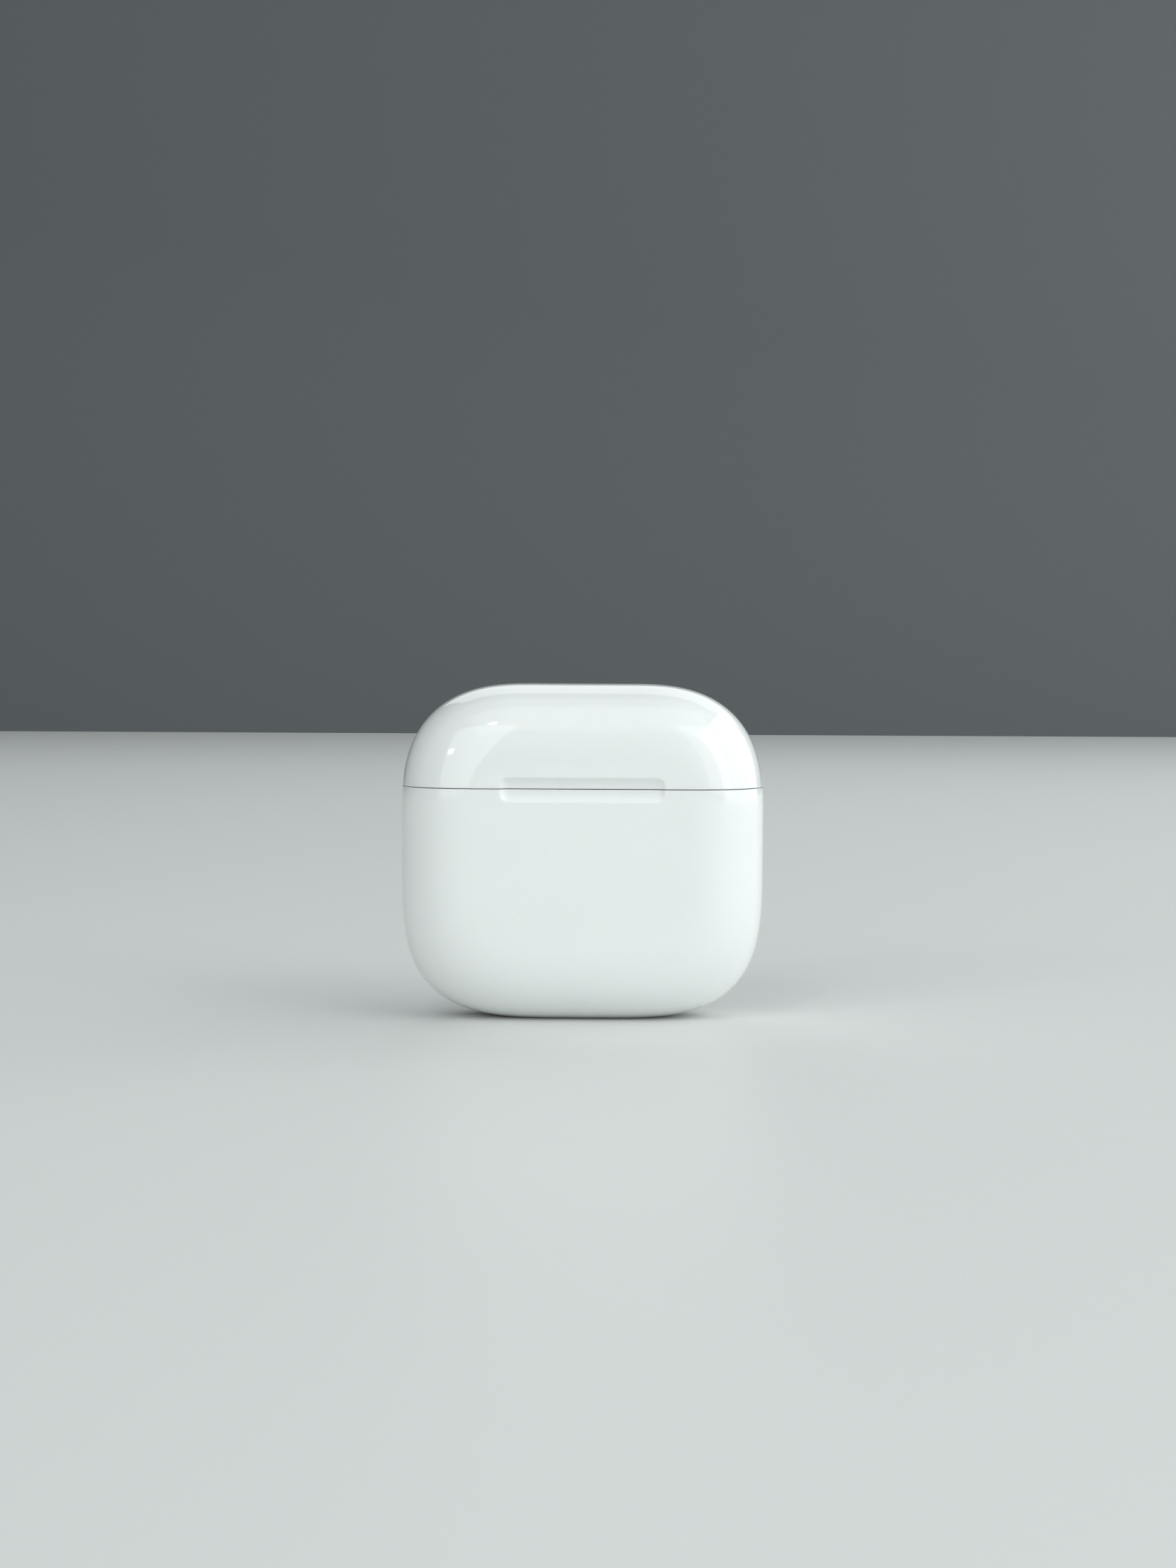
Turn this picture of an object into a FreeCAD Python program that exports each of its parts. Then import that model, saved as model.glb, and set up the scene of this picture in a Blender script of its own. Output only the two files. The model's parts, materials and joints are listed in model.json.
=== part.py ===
"""Wireless earbuds case: a pocket charging case with a hinged lid, two earbud wells and a wired
and wireless charging system inside.

Millimetres. +Z is up, with the case standing on the flat foot at its base. +X is to the right as
seen from the front, and -Y is the front, where the finger notch is. The origin is on the foot,
midway across and midway deep. Each sub-part is one function that returns its solids; the table at
the end names the nodes and writes one STEP file for each.
"""
import FreeCAD
import Part
import math
import os

Vector = FreeCAD.Vector
ALONG_X = Vector(1, 0, 0)
ALONG_Y = Vector(0, 1, 0)

# ---------------------------------------------------------------- overall form
case_width = 50.1
case_height = 46.2
case_depth = 21.2
foot_cut = 0.3            # how much of the rounded base is trimmed to the flat foot
seam_height = 32.0        # top of the body's rim
seam_gap = 0.18           # open line between the body's rim and the lid's
shell_wall = 1.2

crown_corner = (17.9, 17.8)   # width and height of the rounded corners of the lid
crown_power = 2.6
base_corner = (24.0, 21.8)    # the same for the base
base_power = 3.4
roll_width = 11.0             # how far the front and back faces roll in from the outline
roll_power = 2.35

# ---------------------------------------------------------------- finger notch
notch_length = 22.4
notch_height = 3.35
notch_depth = 0.6
notch_drop = 0.1          # its middle below the seam's middle

# ---------------------------------------------------------------- clearances
glue_gap = 0.05           # a glued plastic piece in its shell
fit_gap = 0.08            # a part that sits in an opening
running_gap = 0.03        # a pin or plunger that moves in its hole
touch_gap = 0.02          # pieces that lie against each other
screw_gap = 0.02          # a screw in its hole

# ---------------------------------------------------------------- lid hinge
lid_travel = 100.0        # degrees from shut to fully open
hinge_inset = 0.75        # axis to the back face
hinge_length = 20.0
barrel_radius = 0.95
hinge_pin_radius = 0.4
leaf_thickness = 0.6      # of the plate that shows
leaf_reach = 2.6          # axis to the far edge of the plate that shows
leaf_corner = 0.9
end_knuckle = 2.6
lid_knuckle = 2.8
knuckle_gap = 0.1
tab_thickness = 0.5
tab_width = 17.0
tab_reach = 5.4           # axis to the far end of the hidden tab
tab_wall_gap = 0.6        # tab to the inside of the shell
hinge_spring_wire = 0.1
hinge_spring_radius = 0.6
hinge_spring_pitch = 0.36
relief_gap = 0.08         # lid to the dip in the body's back rim, fully open

# ---------------------------------------------------------------- inner frame and lid liner
deck_drop = 0.3           # body's rim down to the deck
deck_thickness = 1.0
skirt_depth = 5.0
skirt_thickness = 0.9
liner_recess = 0.12
well_wall = 0.9
stem_radius = 3.7
stem_centre = 7.3
stem_floor = 11.5         # height of the floor of the stem bores
well_centre = 12.0        # mouth of a well, from the middle of the case
well_half_width = 9.0
well_skirt_gap = 0.15     # wall of a well to the skirt
# Head end of a well, from the deck down: depth, then how far its centre, half width and half depth
# have come from the stem's to the mouth's.
well_shares = [
    (0.0, 1.0, 1.0, 1.0),
    (3.0, 0.979, 0.943, 0.946),
    (5.5, 0.787, 0.717, 0.730),
    (7.5, 0.489, 0.396, 0.378),
    (9.5, 0.170, 0.132, 0.122),
    (11.5, 0.0, 0.0, 0.0),
]
# Hollow over a well in the lid liner, from the liner's rim up: height, then the centre, half width
# and half depth as shares of the mouth's.
dome_shares = [
    (0.0, 1.0, 1.0, 1.0),
    (3.0, 0.992, 0.978, 0.980),
    (6.0, 0.983, 0.867, 0.878),
    (8.4, 0.967, 0.656, 0.689),
    (9.8, 0.958, 0.356, 0.378),
]
boss_radius = 1.3
bud_magnet_radius = 2.0
bud_magnet_thickness = 1.5
bud_magnet_centre = 17.4

# ---------------------------------------------------------------- magnets by the rim
bar_magnet = (3.0, 1.5)   # length and height
bar_magnet_share = 0.165  # its depth, as a share of the depth from the middle to the shell
bar_magnet_start = 2.5    # near end, from the middle of the case
bar_magnet_wall_gap = 0.05
sensor_magnet_size = (1.8, 1.2, 1.2)

# ---------------------------------------------------------------- charging contacts
contact_pitch = 3.0
contact_barrel_radius = 0.8
contact_barrel_bore = 0.58
contact_barrel_length = 3.3
contact_barrel_proud = 0.4
contact_lip = 0.3
contact_barrel_floor = 0.25
contact_pin_radius = 0.42
contact_collar_radius = 0.55
contact_collar_height = 0.5
contact_pin_proud = 1.2
contact_spring_wire = 0.07
contact_spring_radius = 0.42
contact_spring_turns = 6
contact_board_size = (20.8, 6.8, 0.8)

# ---------------------------------------------------------------- USB-C port
port_width = 8.94
port_depth = 3.26
port_wall = 0.3
port_mouth = 0.35         # height of the receptacle's mouth above the foot
port_length = 7.2
tongue_size = (6.69, 0.7)
tongue_setback = 0.95
tongue_base_length = 2.0
contact_strip = (0.25, 0.05, 3.4)
contact_strip_pitch = 0.5
contact_strip_count = 12
gasket_width = 0.7
gasket_height = 0.8
gasket_seat = 0.3         # lowest point inside the base to the gasket
port_board_size = (8.9, 4.8, 0.5)
bracket_sheet = 0.4
bracket_ear_height = 3.0
bracket_screw_centre = 6.6
bracket_ear_end = 8.3

# ---------------------------------------------------------------- battery
cell_height = 12.3
cell_stem_gap = 0.4       # cell to the wall of the stem bore
cell_side_gap = 4.75      # cell to the side of the shell, at its widest
cell_face_gap = 3.7       # cell to the front and the back of the shell
cell_floor = 7.6
cell_edge = 0.8
foam_thickness = 1.8

# ---------------------------------------------------------------- main board
board_width = 21.6
board_thickness = 0.8
board_share = 0.37        # where it stands between the stem bores and the front wall
shield_height = 1.3
board_floor = 11.0
board_height = 10.2
board_tongue_width = 4.0
board_tongue_top = 30.2
led_height = 25.4
led_size = (1.6, 0.65, 0.8)
light_guide_radius = 0.9
board_screw_height = 28.0
sensor_size = (1.5, 0.6, 1.2)

# ---------------------------------------------------------------- wireless charging
coil_height = 17.0
coil_outer_radius = 7.6
coil_inner_radius = 3.6
coil_turns = 8
coil_strand = 0.34
coil_wall_gap = 0.45
ferrite_side = 15.6
ferrite_thickness = 0.3

# ---------------------------------------------------------------- screws
screw_radius = 0.4
screw_head_radius = 0.8
screw_head_height = 0.4
hinge_screw_centre = 6.0
hinge_screw_drop = 4.3    # axis to the leaf screws
hinge_screw_length = 2.2
bracket_screw_length = 1.9
board_screw_length = 2.0

# ---------------------------------------------------------------- worked out from the above
half_width = case_width / 2
half_depth = case_depth / 2
lid_floor = seam_height + seam_gap
inner_depth = half_depth - shell_wall
well_half_depth = inner_depth - glue_gap - skirt_thickness - well_wall - well_skirt_gap
bar_magnet_depth = bar_magnet_share * inner_depth
cell_inner_face = stem_centre + stem_radius + well_wall + cell_stem_gap
cell_width = half_width - shell_wall - cell_side_gap - cell_inner_face
cell_depth = 2 * (inner_depth - cell_face_gap)
board_room = inner_depth - stem_radius - well_wall - board_thickness - shield_height
board_back = -(stem_radius + well_wall + board_share * board_room)
hinge_y = half_depth - hinge_inset
hinge_z = seam_height + seam_gap / 2
deck_top = seam_height - deck_drop
deck_underside = deck_top - deck_thickness
liner_floor = lid_floor + liner_recess
liner_plate_top = liner_floor + deck_thickness
tab_back = inner_depth - tab_wall_gap
tab_front = tab_back - tab_thickness
pocket_front = tab_front - glue_gap
contact_board_top = stem_floor - well_wall - touch_gap
contact_barrel_top = stem_floor + contact_barrel_proud
contact_barrel_base = contact_barrel_top - contact_barrel_length
contact_collar_top = contact_barrel_top - contact_lip - touch_gap
contact_spring_floor = contact_barrel_base + contact_barrel_floor + touch_gap
board_front = board_back - board_thickness
base_floor = shell_wall - foot_cut
port_board_floor = port_mouth + port_length + touch_gap


def sections(shares, foot):
    """The sections of a well or a hollow: depth, centre, half width and half depth."""
    mouth = (well_centre, well_half_width, well_half_depth)
    table = []
    for drop, *row in shares:
        sizes = [low + share * (high - low) for share, high, low in zip(row, mouth, foot)]
        table.append((drop, *sizes))
    return table


well_sections = sections(well_shares, (stem_centre, stem_radius, stem_radius))
dome_sections = sections(dome_shares, (0.0, 0.0, 0.0))


# ================================================================ drawing helpers
def box(x0, x1, y0, y1, z0, z1):
    """A block between two corners."""
    return Part.makeBox(x1 - x0, y1 - y0, z1 - z0, Vector(x0, y0, z0))


def rod(radius, start, end):
    """A round bar from one point to another."""
    start, end = Vector(*start), Vector(*end)
    return Part.makeCylinder(radius, (end - start).Length, start, end - start)


def tube(outer, inner, start, end):
    """A round bar with a hole through it."""
    return rod(outer, start, end).cut(rod(inner, start, end))


def fused(pieces):
    """One shape from several that touch or overlap."""
    return pieces[0].fuse(pieces[1:])


def group(pieces):
    """Separate solids kept together in one node."""
    return Part.makeCompound([solid for piece in pieces for solid in piece.Solids])


def both_sides(piece):
    """A piece and its mirror image across the middle of the case."""
    return [piece, piece.mirror(Vector(0, 0, 0), ALONG_X)]


def rounded_slab(width, depth, radius, z0, z1):
    """An upright slab with round corners, centred on the Z axis."""
    slab = box(-width / 2, width / 2, -depth / 2, depth / 2, z0, z1)
    upright = [e for e in slab.Edges if abs(e.tangentAt(e.FirstParameter).z) > 0.99]
    return slab.makeFillet(min(radius, width / 2 - 0.001, depth / 2 - 0.001), upright)


def screw(head_face, direction, length):
    """A pan-head screw: its head stands on head_face and its shank runs along direction."""
    at, way = Vector(*head_face), Vector(*direction)
    head = Part.makeCylinder(screw_head_radius, screw_head_height, at, way * -1)
    socket_at = at - way * screw_head_height
    socket = Part.makeCylinder(screw_radius * 0.8, screw_head_height / 2, socket_at, way)
    shank = Part.makeCylinder(screw_radius, length, at, way)
    return fused([head, shank]).cut(socket)


def coil_of_wire(radius, wire, pitch, length):
    """A helical spring standing on the origin along Z."""
    path = Part.makeHelix(pitch, length, radius)
    section = Part.Wire(Part.makeCircle(wire, Vector(radius, 0, 0), Vector(0, 1, 0)))
    return Part.Solid(path.makePipeShell([section], True, True))


# ================================================================ outer form
def corner_points(size, power, quarter):
    """One rounded corner: a superellipse arc, as points by their direction from its centre."""
    steps = 8
    points = []
    for i in range(steps + 1):
        turn = math.radians(90 * (quarter + i / steps))
        c, s = math.cos(turn), math.sin(turn)
        reach = (abs(c) ** power + abs(s) ** power) ** (-1 / power)
        points.append((size[0] * reach * c, size[1] * reach * s))
    return points


def outline(grow, inset, y):
    """The case's front outline as a wire at depth y, grown outwards and then drawn in."""
    shift = grow - inset
    x_edge = half_width + shift
    crown = (crown_corner[0] + shift, crown_corner[1] + shift)
    base = (base_corner[0] + shift, base_corner[1] + shift)
    top, bottom = case_height + shift, -foot_cut - shift
    corners = [
        (x_edge - crown[0], top - crown[1], crown, crown_power, 0),
        (crown[0] - x_edge, top - crown[1], crown, crown_power, 1),
        (base[0] - x_edge, bottom + base[1], base, base_power, 2),
        (x_edge - base[0], bottom + base[1], base, base_power, 3),
    ]
    edges, last, first = [], None, None
    for x, z, size, power, quarter in corners:
        flat = [Vector(x + dx, y, z + dz) for dx, dz in corner_points(size, power, quarter)]
        if last is not None:
            edges.append(Part.makeLine(last, flat[0]))
        first = first or flat[0]
        turn = math.radians(90 * quarter)
        leave = Vector(-math.sin(turn), 0, math.cos(turn))
        arrive = Vector(-math.cos(turn), 0, -math.sin(turn))
        arc = Part.BSplineCurve()
        arc.interpolate(Points=flat, InitialTangent=leave, FinalTangent=arrive)
        edges.append(arc.toShape())
        last = flat[-1]
    edges.append(Part.makeLine(last, first))
    return Part.Wire(edges)


def form(grow):
    """The whole case as one pebble-shaped solid, grown outwards (or inwards if negative)."""
    steps = 12
    wires = []
    for i in range(steps + 1):
        turn = math.radians(180 * i / steps - 90)
        c, s = abs(math.cos(turn)), math.sin(turn)
        reach = (c ** roll_power + abs(s) ** roll_power) ** (-1 / roll_power)
        wires.append(outline(grow, (roll_width + grow) * (1 - reach * c), (half_depth + grow) * reach * s))
    return Part.makeLoft(wires, True)


def form_between(grow, z0, z1):
    """A level slice of the form."""
    wide = case_width + case_depth
    return form(grow).common(box(-wide, wide, -wide, wide, z0, z1))


def band(grow, thickness, z0, z1):
    """A wall that follows the form, between two levels."""
    return form_between(grow, z0, z1).cut(form(grow - thickness))


def finger_notch():
    """The scoop across the seam at the front: a long round-ended bar, sunk into the face."""
    radius = ((notch_height / 2) ** 2 + notch_depth ** 2) / (2 * notch_depth)
    y = -half_depth + notch_depth - radius
    reach = (notch_length - notch_height) / 2
    z = seam_height + seam_gap / 2 - notch_drop
    ends = [Part.makeSphere(radius, Vector(x, y, z)) for x in (-reach, reach)]
    return fused([rod(radius, (-reach, y, z), (reach, y, z))] + ends)


def hinge_window():
    """The opening through both shells at the back where the hinge shows."""
    reach, half = leaf_reach + fit_gap, hinge_length / 2 + fit_gap
    window = box(-half, half, pocket_front, case_depth, hinge_z - reach, hinge_z + reach)
    corners = [e for e in window.Edges if abs(e.tangentAt(e.FirstParameter).y) > 0.99]
    return window.makeFillet(leaf_corner + fit_gap, corners)


def rim_dip():
    """What the body's back rim gives up so that the lid's back wall can swing down behind it."""
    steps = 10
    slope = math.tan(math.radians(lid_travel / 2))
    flat_end = half_width - roll_width
    points = []
    for i in range(steps + 1):
        x = flat_end + roll_width * 0.8 * i / steps
        share = (x - flat_end) / roll_width
        behind = half_depth * (1 - share ** roll_power) ** (1 / roll_power) - hinge_y
        points.append(Vector(x, 0, seam_height - max(0.0, behind * slope + relief_gap)))
    used = [p for p in points if p.z < seam_height]
    used.append(Vector(points[len(used)].x, 0, seam_height))
    lift = seam_gap
    right = used + [Vector(used[-1].x, 0, seam_height + lift)]
    left = [Vector(-p.x, 0, p.z) for p in reversed(right)]
    wire = Part.makePolygon(left + right + [left[0]])
    return Part.Face(wire).extrude(Vector(0, case_depth, 0))


# ================================================================ shells
def body_shell():
    """The glossy lower shell: open at the top, with the port hole and two bosses at the base."""
    shell = form_between(0, 0, seam_height).cut(form(-shell_wall))
    port = rounded_slab(port_width + 2 * fit_gap, port_depth + 2 * fit_gap, port_depth, -1, 4)
    bosses = []
    for x in (-bracket_screw_centre, bracket_screw_centre):
        boss_top = bracket_ear_height - touch_gap
        boss = rod(boss_radius, (x, 0, base_floor / 2), (x, 0, boss_top))
        bosses.append(boss)
    shell = fused([shell] + bosses)
    for x in (-bracket_screw_centre, bracket_screw_centre):
        hole_floor = bracket_ear_height + bracket_sheet - bracket_screw_length - 0.1
        shell = shell.cut(rod(screw_radius + screw_gap, (x, 0, hole_floor), (x, 0, 6)))
    for tool in (port, finger_notch(), hinge_window(), rim_dip()):
        shell = shell.cut(tool)
    return shell


def lid_shell():
    """The glossy upper shell."""
    shell = form_between(0, lid_floor, case_height + 1).cut(form(-shell_wall))
    return shell.cut(finger_notch()).cut(hinge_window())


# ================================================================ inner frame and liner
def cup(sections, level, way, side, grow):
    """A smooth cup through level ellipses, from a rim at level, down (way -1) or up (way 1)."""
    wires = []
    for drop, centre, wide, deep in sections:
        middle = Vector(side * centre, 0, level + way * (drop + (grow if drop else 0)))
        ellipse = Part.Ellipse(middle, wide + grow, deep + grow)
        wires.append(Part.Wire(ellipse.toShape()))
    return Part.makeLoft(wires, True)


def stem_bore(side, grow):
    """The round lower end of a well."""
    x = side * stem_centre
    top = deck_top - well_sections[-1][0]
    return rod(stem_radius + grow, (x, 0, stem_floor - grow), (x, 0, top - (grow if grow else 0)))


def hinge_pocket():
    """Room for the hinge's tabs behind the frame and the liner."""
    half = hinge_length / 2 + 3 * fit_gap
    reach = tab_reach + 3 * fit_gap
    return box(-half, half, pocket_front, case_depth, hinge_z - reach, hinge_z + reach)


def hinge_boss(side, way):
    """Boss for a leaf screw, from a well's wall back to the hinge tab."""
    x, z = side * hinge_screw_centre, hinge_z + way * hinge_screw_drop
    return rod(boss_radius, (x, pocket_front - 3.4, z), (x, pocket_front, z))


def hinge_boss_hole(side, way):
    """The pilot hole of a hinge boss."""
    x, z = side * hinge_screw_centre, hinge_z + way * hinge_screw_drop
    depth = tab_back - hinge_screw_length - 0.1
    return rod(screw_radius + screw_gap, (x, depth, z), (x, half_depth, z))


def inner_frame():
    """The one-piece moulding that fills the body's mouth: deck, skirt, two wells and bosses."""
    parts = [form_between(-shell_wall - glue_gap, deck_underside, deck_top)]
    parts.append(band(-shell_wall - glue_gap, skirt_thickness, deck_top - skirt_depth, deck_top))
    magnet_cup_floor = deck_top - well_sections[-1][0] + 0.4
    for side in (-1, 1):
        parts.append(cup(well_sections, deck_top, -1, side, well_wall))
        parts.append(stem_bore(side, well_wall))
        x = side * bud_magnet_centre
        cup_wall = rod(bud_magnet_radius + 0.6, (x, 0, magnet_cup_floor), (x, 0, magnet_cup_floor + 5))
        parts.append(cup_wall)
        parts.append(hinge_boss(side, -1))
    block_half = board_tongue_width / 2 - 0.2
    parts.append(box(-block_half, block_half, board_back + touch_gap, -2.6,
                     board_screw_height - 2.4, deck_top - 0.2))
    frame = fused(parts)
    for side in (-1, 1):
        frame = frame.cut(cup(well_sections, deck_top, -1, side, 0))
        frame = frame.cut(stem_bore(side, 0))
        x = side * bud_magnet_centre
        magnet_top = magnet_cup_floor + bud_magnet_thickness + touch_gap
        seat = bud_magnet_radius + screw_gap
        frame = frame.cut(rod(seat, (x, 0, magnet_cup_floor - 1), (x, 0, magnet_top)))
        frame = frame.cut(hinge_boss_hole(side, -1))
        for x in contact_places(side):
            hole = contact_barrel_radius + screw_gap
            frame = frame.cut(rod(hole, (x, 0, stem_floor - 2 * well_wall), (x, 0, stem_floor + 0.1)))
    pilot = rod(screw_radius + screw_gap, (0, board_back - 1, board_screw_height),
                (0, board_front + board_screw_length + 0.1, board_screw_height))
    return frame.cut(pilot).cut(hinge_pocket())


def lid_liner():
    """The moulding glued into the lid, with a domed hollow over each well."""
    parts = [form_between(-shell_wall - glue_gap, liner_floor, liner_plate_top)]
    parts.append(band(-shell_wall - glue_gap, skirt_thickness, liner_floor, liner_floor + skirt_depth))
    for side in (-1, 1):
        parts.append(cup(dome_sections, liner_floor, 1, side, well_wall))
        parts.append(hinge_boss(side, 1))
    liner = fused(parts)
    for side in (-1, 1):
        liner = liner.cut(cup(dome_sections, liner_floor, 1, side, 0))
        liner = liner.cut(hinge_boss_hole(side, 1))
    return liner.cut(hinge_pocket())


# ================================================================ hinge
def knuckle_spans(of_lid):
    """Where along the hinge each knuckle of one leaf lies."""
    half = hinge_length / 2
    inner = half - end_knuckle - knuckle_gap
    middle = inner - lid_knuckle - knuckle_gap
    if of_lid:
        return [(-inner, -inner + lid_knuckle), (inner - lid_knuckle, inner)]
    return [(-half, -half + end_knuckle), (-middle, middle), (half - end_knuckle, half)]


def hinge_leaf(way, of_lid):
    """One stamped leaf: the plate that shows, its knuckles, a neck and a hidden screw tab.

    way is 1 for a leaf that reaches up from the axis and -1 for one that reaches down.
    """
    def level(a, b):
        """Two heights on this leaf's side of the axis, the lower one first."""
        return sorted((hinge_z + way * a, hinge_z + way * b))

    half = hinge_length / 2
    plate_front = half_depth - leaf_thickness
    clear = barrel_radius + knuckle_gap
    z0, z1 = level(clear, leaf_reach)
    plate = box(-half, half, plate_front, half_depth, z0, z1)
    far = [e for e in plate.Edges
           if abs(e.tangentAt(e.FirstParameter).y) > 0.99
           and abs(e.CenterOfMass.z - (hinge_z + way * leaf_reach)) < 0.01]
    parts = [plate.makeFillet(leaf_corner, far)]
    z0, z1 = level(clear + 0.35, leaf_reach)
    parts.append(box(-tab_width / 2, tab_width / 2, tab_front, plate_front, z0, z1))
    z0, z1 = level(clear + 0.35, tab_reach)
    parts.append(box(-tab_width / 2, tab_width / 2, tab_front, tab_back, z0, z1))
    for x0, x1 in knuckle_spans(of_lid):
        parts.append(rod(barrel_radius, (x0, hinge_y, hinge_z), (x1, hinge_y, hinge_z)))
        z0, z1 = level(0, clear)
        parts.append(box(x0, x1, plate_front, half_depth, z0, z1))
    leaf = fused(parts)
    for x0, x1 in knuckle_spans(of_lid):
        middle = x0 < 0 < x1
        bore = hinge_spring_radius + hinge_spring_wire + fit_gap if middle else hinge_pin_radius
        bore += running_gap if of_lid else 0
        leaf = leaf.cut(rod(bore, (x0 - 0.05, hinge_y, hinge_z), (x1 + 0.05, hinge_y, hinge_z)))
    for side in (-1, 1):
        x, z = side * hinge_screw_centre, hinge_z + way * hinge_screw_drop
        leaf = leaf.cut(rod(screw_radius + screw_gap, (x, tab_front - 1, z), (x, tab_back + 1, z)))
    return leaf


def hinge_pin():
    """The pin through all the knuckles."""
    half = hinge_length / 2
    return rod(hinge_pin_radius, (-half, hinge_y, hinge_z), (half, hinge_y, hinge_z))


def hinge_spring():
    """The wire spring round the pin, inside the middle knuckle."""
    x0, x1 = knuckle_spans(False)[1]
    room = x1 - x0 - 2 * hinge_spring_wire - 0.4
    spring = coil_of_wire(hinge_spring_radius, hinge_spring_wire, hinge_spring_pitch, room)
    spring.rotate(Vector(0, 0, 0), ALONG_Y, 90)
    spring.translate(Vector(-room / 2, hinge_y, hinge_z))
    return spring


def leaf_screws(way):
    """The two screws that hold a leaf's tab."""
    z = hinge_z + way * hinge_screw_drop
    return group([screw((side * hinge_screw_centre, tab_back + touch_gap, z), (0, -1, 0),
                        hinge_screw_length) for side in (-1, 1)])


# ================================================================ magnets
def bar_magnets(front, z0):
    """A pair of bar magnets against the skirt at the front or the back."""
    length, height = bar_magnet
    depth = bar_magnet_depth
    skirt_face = inner_depth - glue_gap - skirt_thickness - bar_magnet_wall_gap
    y = -skirt_face if front else skirt_face - depth - 6 * bar_magnet_wall_gap
    bar = box(bar_magnet_start, bar_magnet_start + length, y, y + depth, z0, z0 + height)
    return both_sides(bar)


def frame_magnets():
    """Magnets under the deck that pull the lid shut."""
    return group(bar_magnets(True, deck_underside - touch_gap - bar_magnet[1]))


def lid_magnets():
    """Their partners on the liner's plate."""
    return group(bar_magnets(True, liner_plate_top + touch_gap))


def bud_magnets():
    """Magnets that seat the earbuds: a disc under each well and a bar behind it."""
    floor = deck_top - well_sections[-1][0] + 0.4
    disc = rod(bud_magnet_radius, (bud_magnet_centre, 0, floor),
               (bud_magnet_centre, 0, floor + bud_magnet_thickness))
    bars = bar_magnets(False, deck_underside - touch_gap - bar_magnet[1])
    return group(both_sides(disc) + bars)


def sensor_magnet():
    """The small magnet in the liner that tells the board whether the lid is shut."""
    width, depth, height = sensor_magnet_size
    skirt_face = inner_depth - glue_gap - skirt_thickness
    depth = min(depth, skirt_face - bar_magnet_wall_gap + board_front)
    y = board_front - depth
    z = liner_plate_top + touch_gap
    return box(-width / 2, width / 2, y, y + depth, z, z + height)


# ================================================================ charging contacts
def contact_places(side):
    """The two contact positions in a well, across the case."""
    return [side * stem_centre - contact_pitch / 2, side * stem_centre + contact_pitch / 2]


def contact_barrel(x):
    """The fixed sleeve of a spring contact."""
    sleeve = rod(contact_barrel_radius, (x, 0, contact_barrel_base), (x, 0, contact_barrel_top))
    bore_floor = contact_barrel_base + contact_barrel_floor
    bore = rod(contact_barrel_bore, (x, 0, bore_floor), (x, 0, contact_barrel_top - contact_lip))
    mouth = rod(contact_pin_radius + running_gap, (x, 0, bore_floor), (x, 0, contact_barrel_top + 1))
    return sleeve.cut(bore).cut(mouth)


def contact_pin(x):
    """The sprung plunger of a contact, with a round nose."""
    nose = contact_barrel_top + contact_pin_proud - contact_pin_radius
    collar_floor = contact_collar_top - contact_collar_height
    return fused([
        rod(contact_collar_radius, (x, 0, collar_floor), (x, 0, contact_collar_top)),
        rod(contact_pin_radius, (x, 0, collar_floor), (x, 0, nose)),
        Part.makeSphere(contact_pin_radius, Vector(x, 0, nose)),
    ])


def contact_spring(x):
    """The coil spring under a plunger."""
    ceiling = contact_collar_top - contact_collar_height - touch_gap
    room = ceiling - contact_spring_floor - 2 * contact_spring_wire
    pitch = room / contact_spring_turns
    spring = coil_of_wire(contact_spring_radius, contact_spring_wire, pitch, room)
    spring.translate(Vector(x, 0, contact_spring_floor + contact_spring_wire))
    return spring


def contact_board():
    """The small board that the contact barrels are soldered into."""
    width, depth, thickness = contact_board_size
    z0 = contact_board_top - thickness
    board = rounded_slab(width, depth, 1.0, z0, contact_board_top)
    hole = contact_barrel_radius + screw_gap
    for side in (-1, 1):
        for x in contact_places(side):
            board = board.cut(rod(hole, (x, 0, z0 - 1), (x, 0, contact_board_top + 1)))
    return board


def contact_flex():
    """The ribbon from the contact board to the main board."""
    top = contact_board_top - contact_board_size[2] - touch_gap
    front = board_back + touch_gap
    ribbon = box(-2, 2, front, -contact_board_size[1] / 2 + 1.5, top - 0.15, top)
    turn_up = box(-2, 2, front, front + 0.15, top - 0.15, board_floor + 1.5)
    return fused([ribbon, turn_up])


# ================================================================ USB-C port
def port_shell():
    """The steel sleeve of the receptacle."""
    top = port_mouth + port_length
    outer = rounded_slab(port_width, port_depth, port_depth, port_mouth, top)
    width = port_width - 2 * port_wall
    depth = port_depth - 2 * port_wall
    inner = rounded_slab(width, depth, port_depth, port_mouth - 1, top + 1)
    return outer.cut(inner)


def port_tongue():
    """The moulded tongue and the block that closes the back of the receptacle."""
    top = port_mouth + port_length
    width, depth = tongue_size
    blade = box(-width / 2, width / 2, -depth / 2, depth / 2, port_mouth + tongue_setback, top)
    room = 2 * port_wall + 2 * touch_gap
    base = rounded_slab(port_width - room, port_depth - room, port_depth, top - tongue_base_length, top)
    return fused([blade, base])


def port_contacts():
    """Two rows of contact strips on the faces of the tongue."""
    width, depth, length = contact_strip
    z0 = port_mouth + tongue_setback + 0.3
    strips = []
    for i in range(contact_strip_count):
        x = (i - (contact_strip_count - 1) / 2) * contact_strip_pitch
        for face in (-1, 1):
            y = sorted((face * tongue_size[1] / 2, face * (tongue_size[1] / 2 + depth)))
            strips.append(box(x - width / 2, x + width / 2, y[0], y[1], z0, z0 + length))
    return group(strips)


def port_gasket():
    """The rubber ring that seals the receptacle against the shell."""
    z0 = base_floor + gasket_seat
    room = 2 * touch_gap
    grow = room + 2 * gasket_width
    outer = rounded_slab(port_width + grow, port_depth + grow, port_depth, z0, z0 + gasket_height)
    inner = rounded_slab(port_width + room, port_depth + room, port_depth, z0 - 1, z0 + gasket_height + 1)
    return outer.cut(inner)


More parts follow.
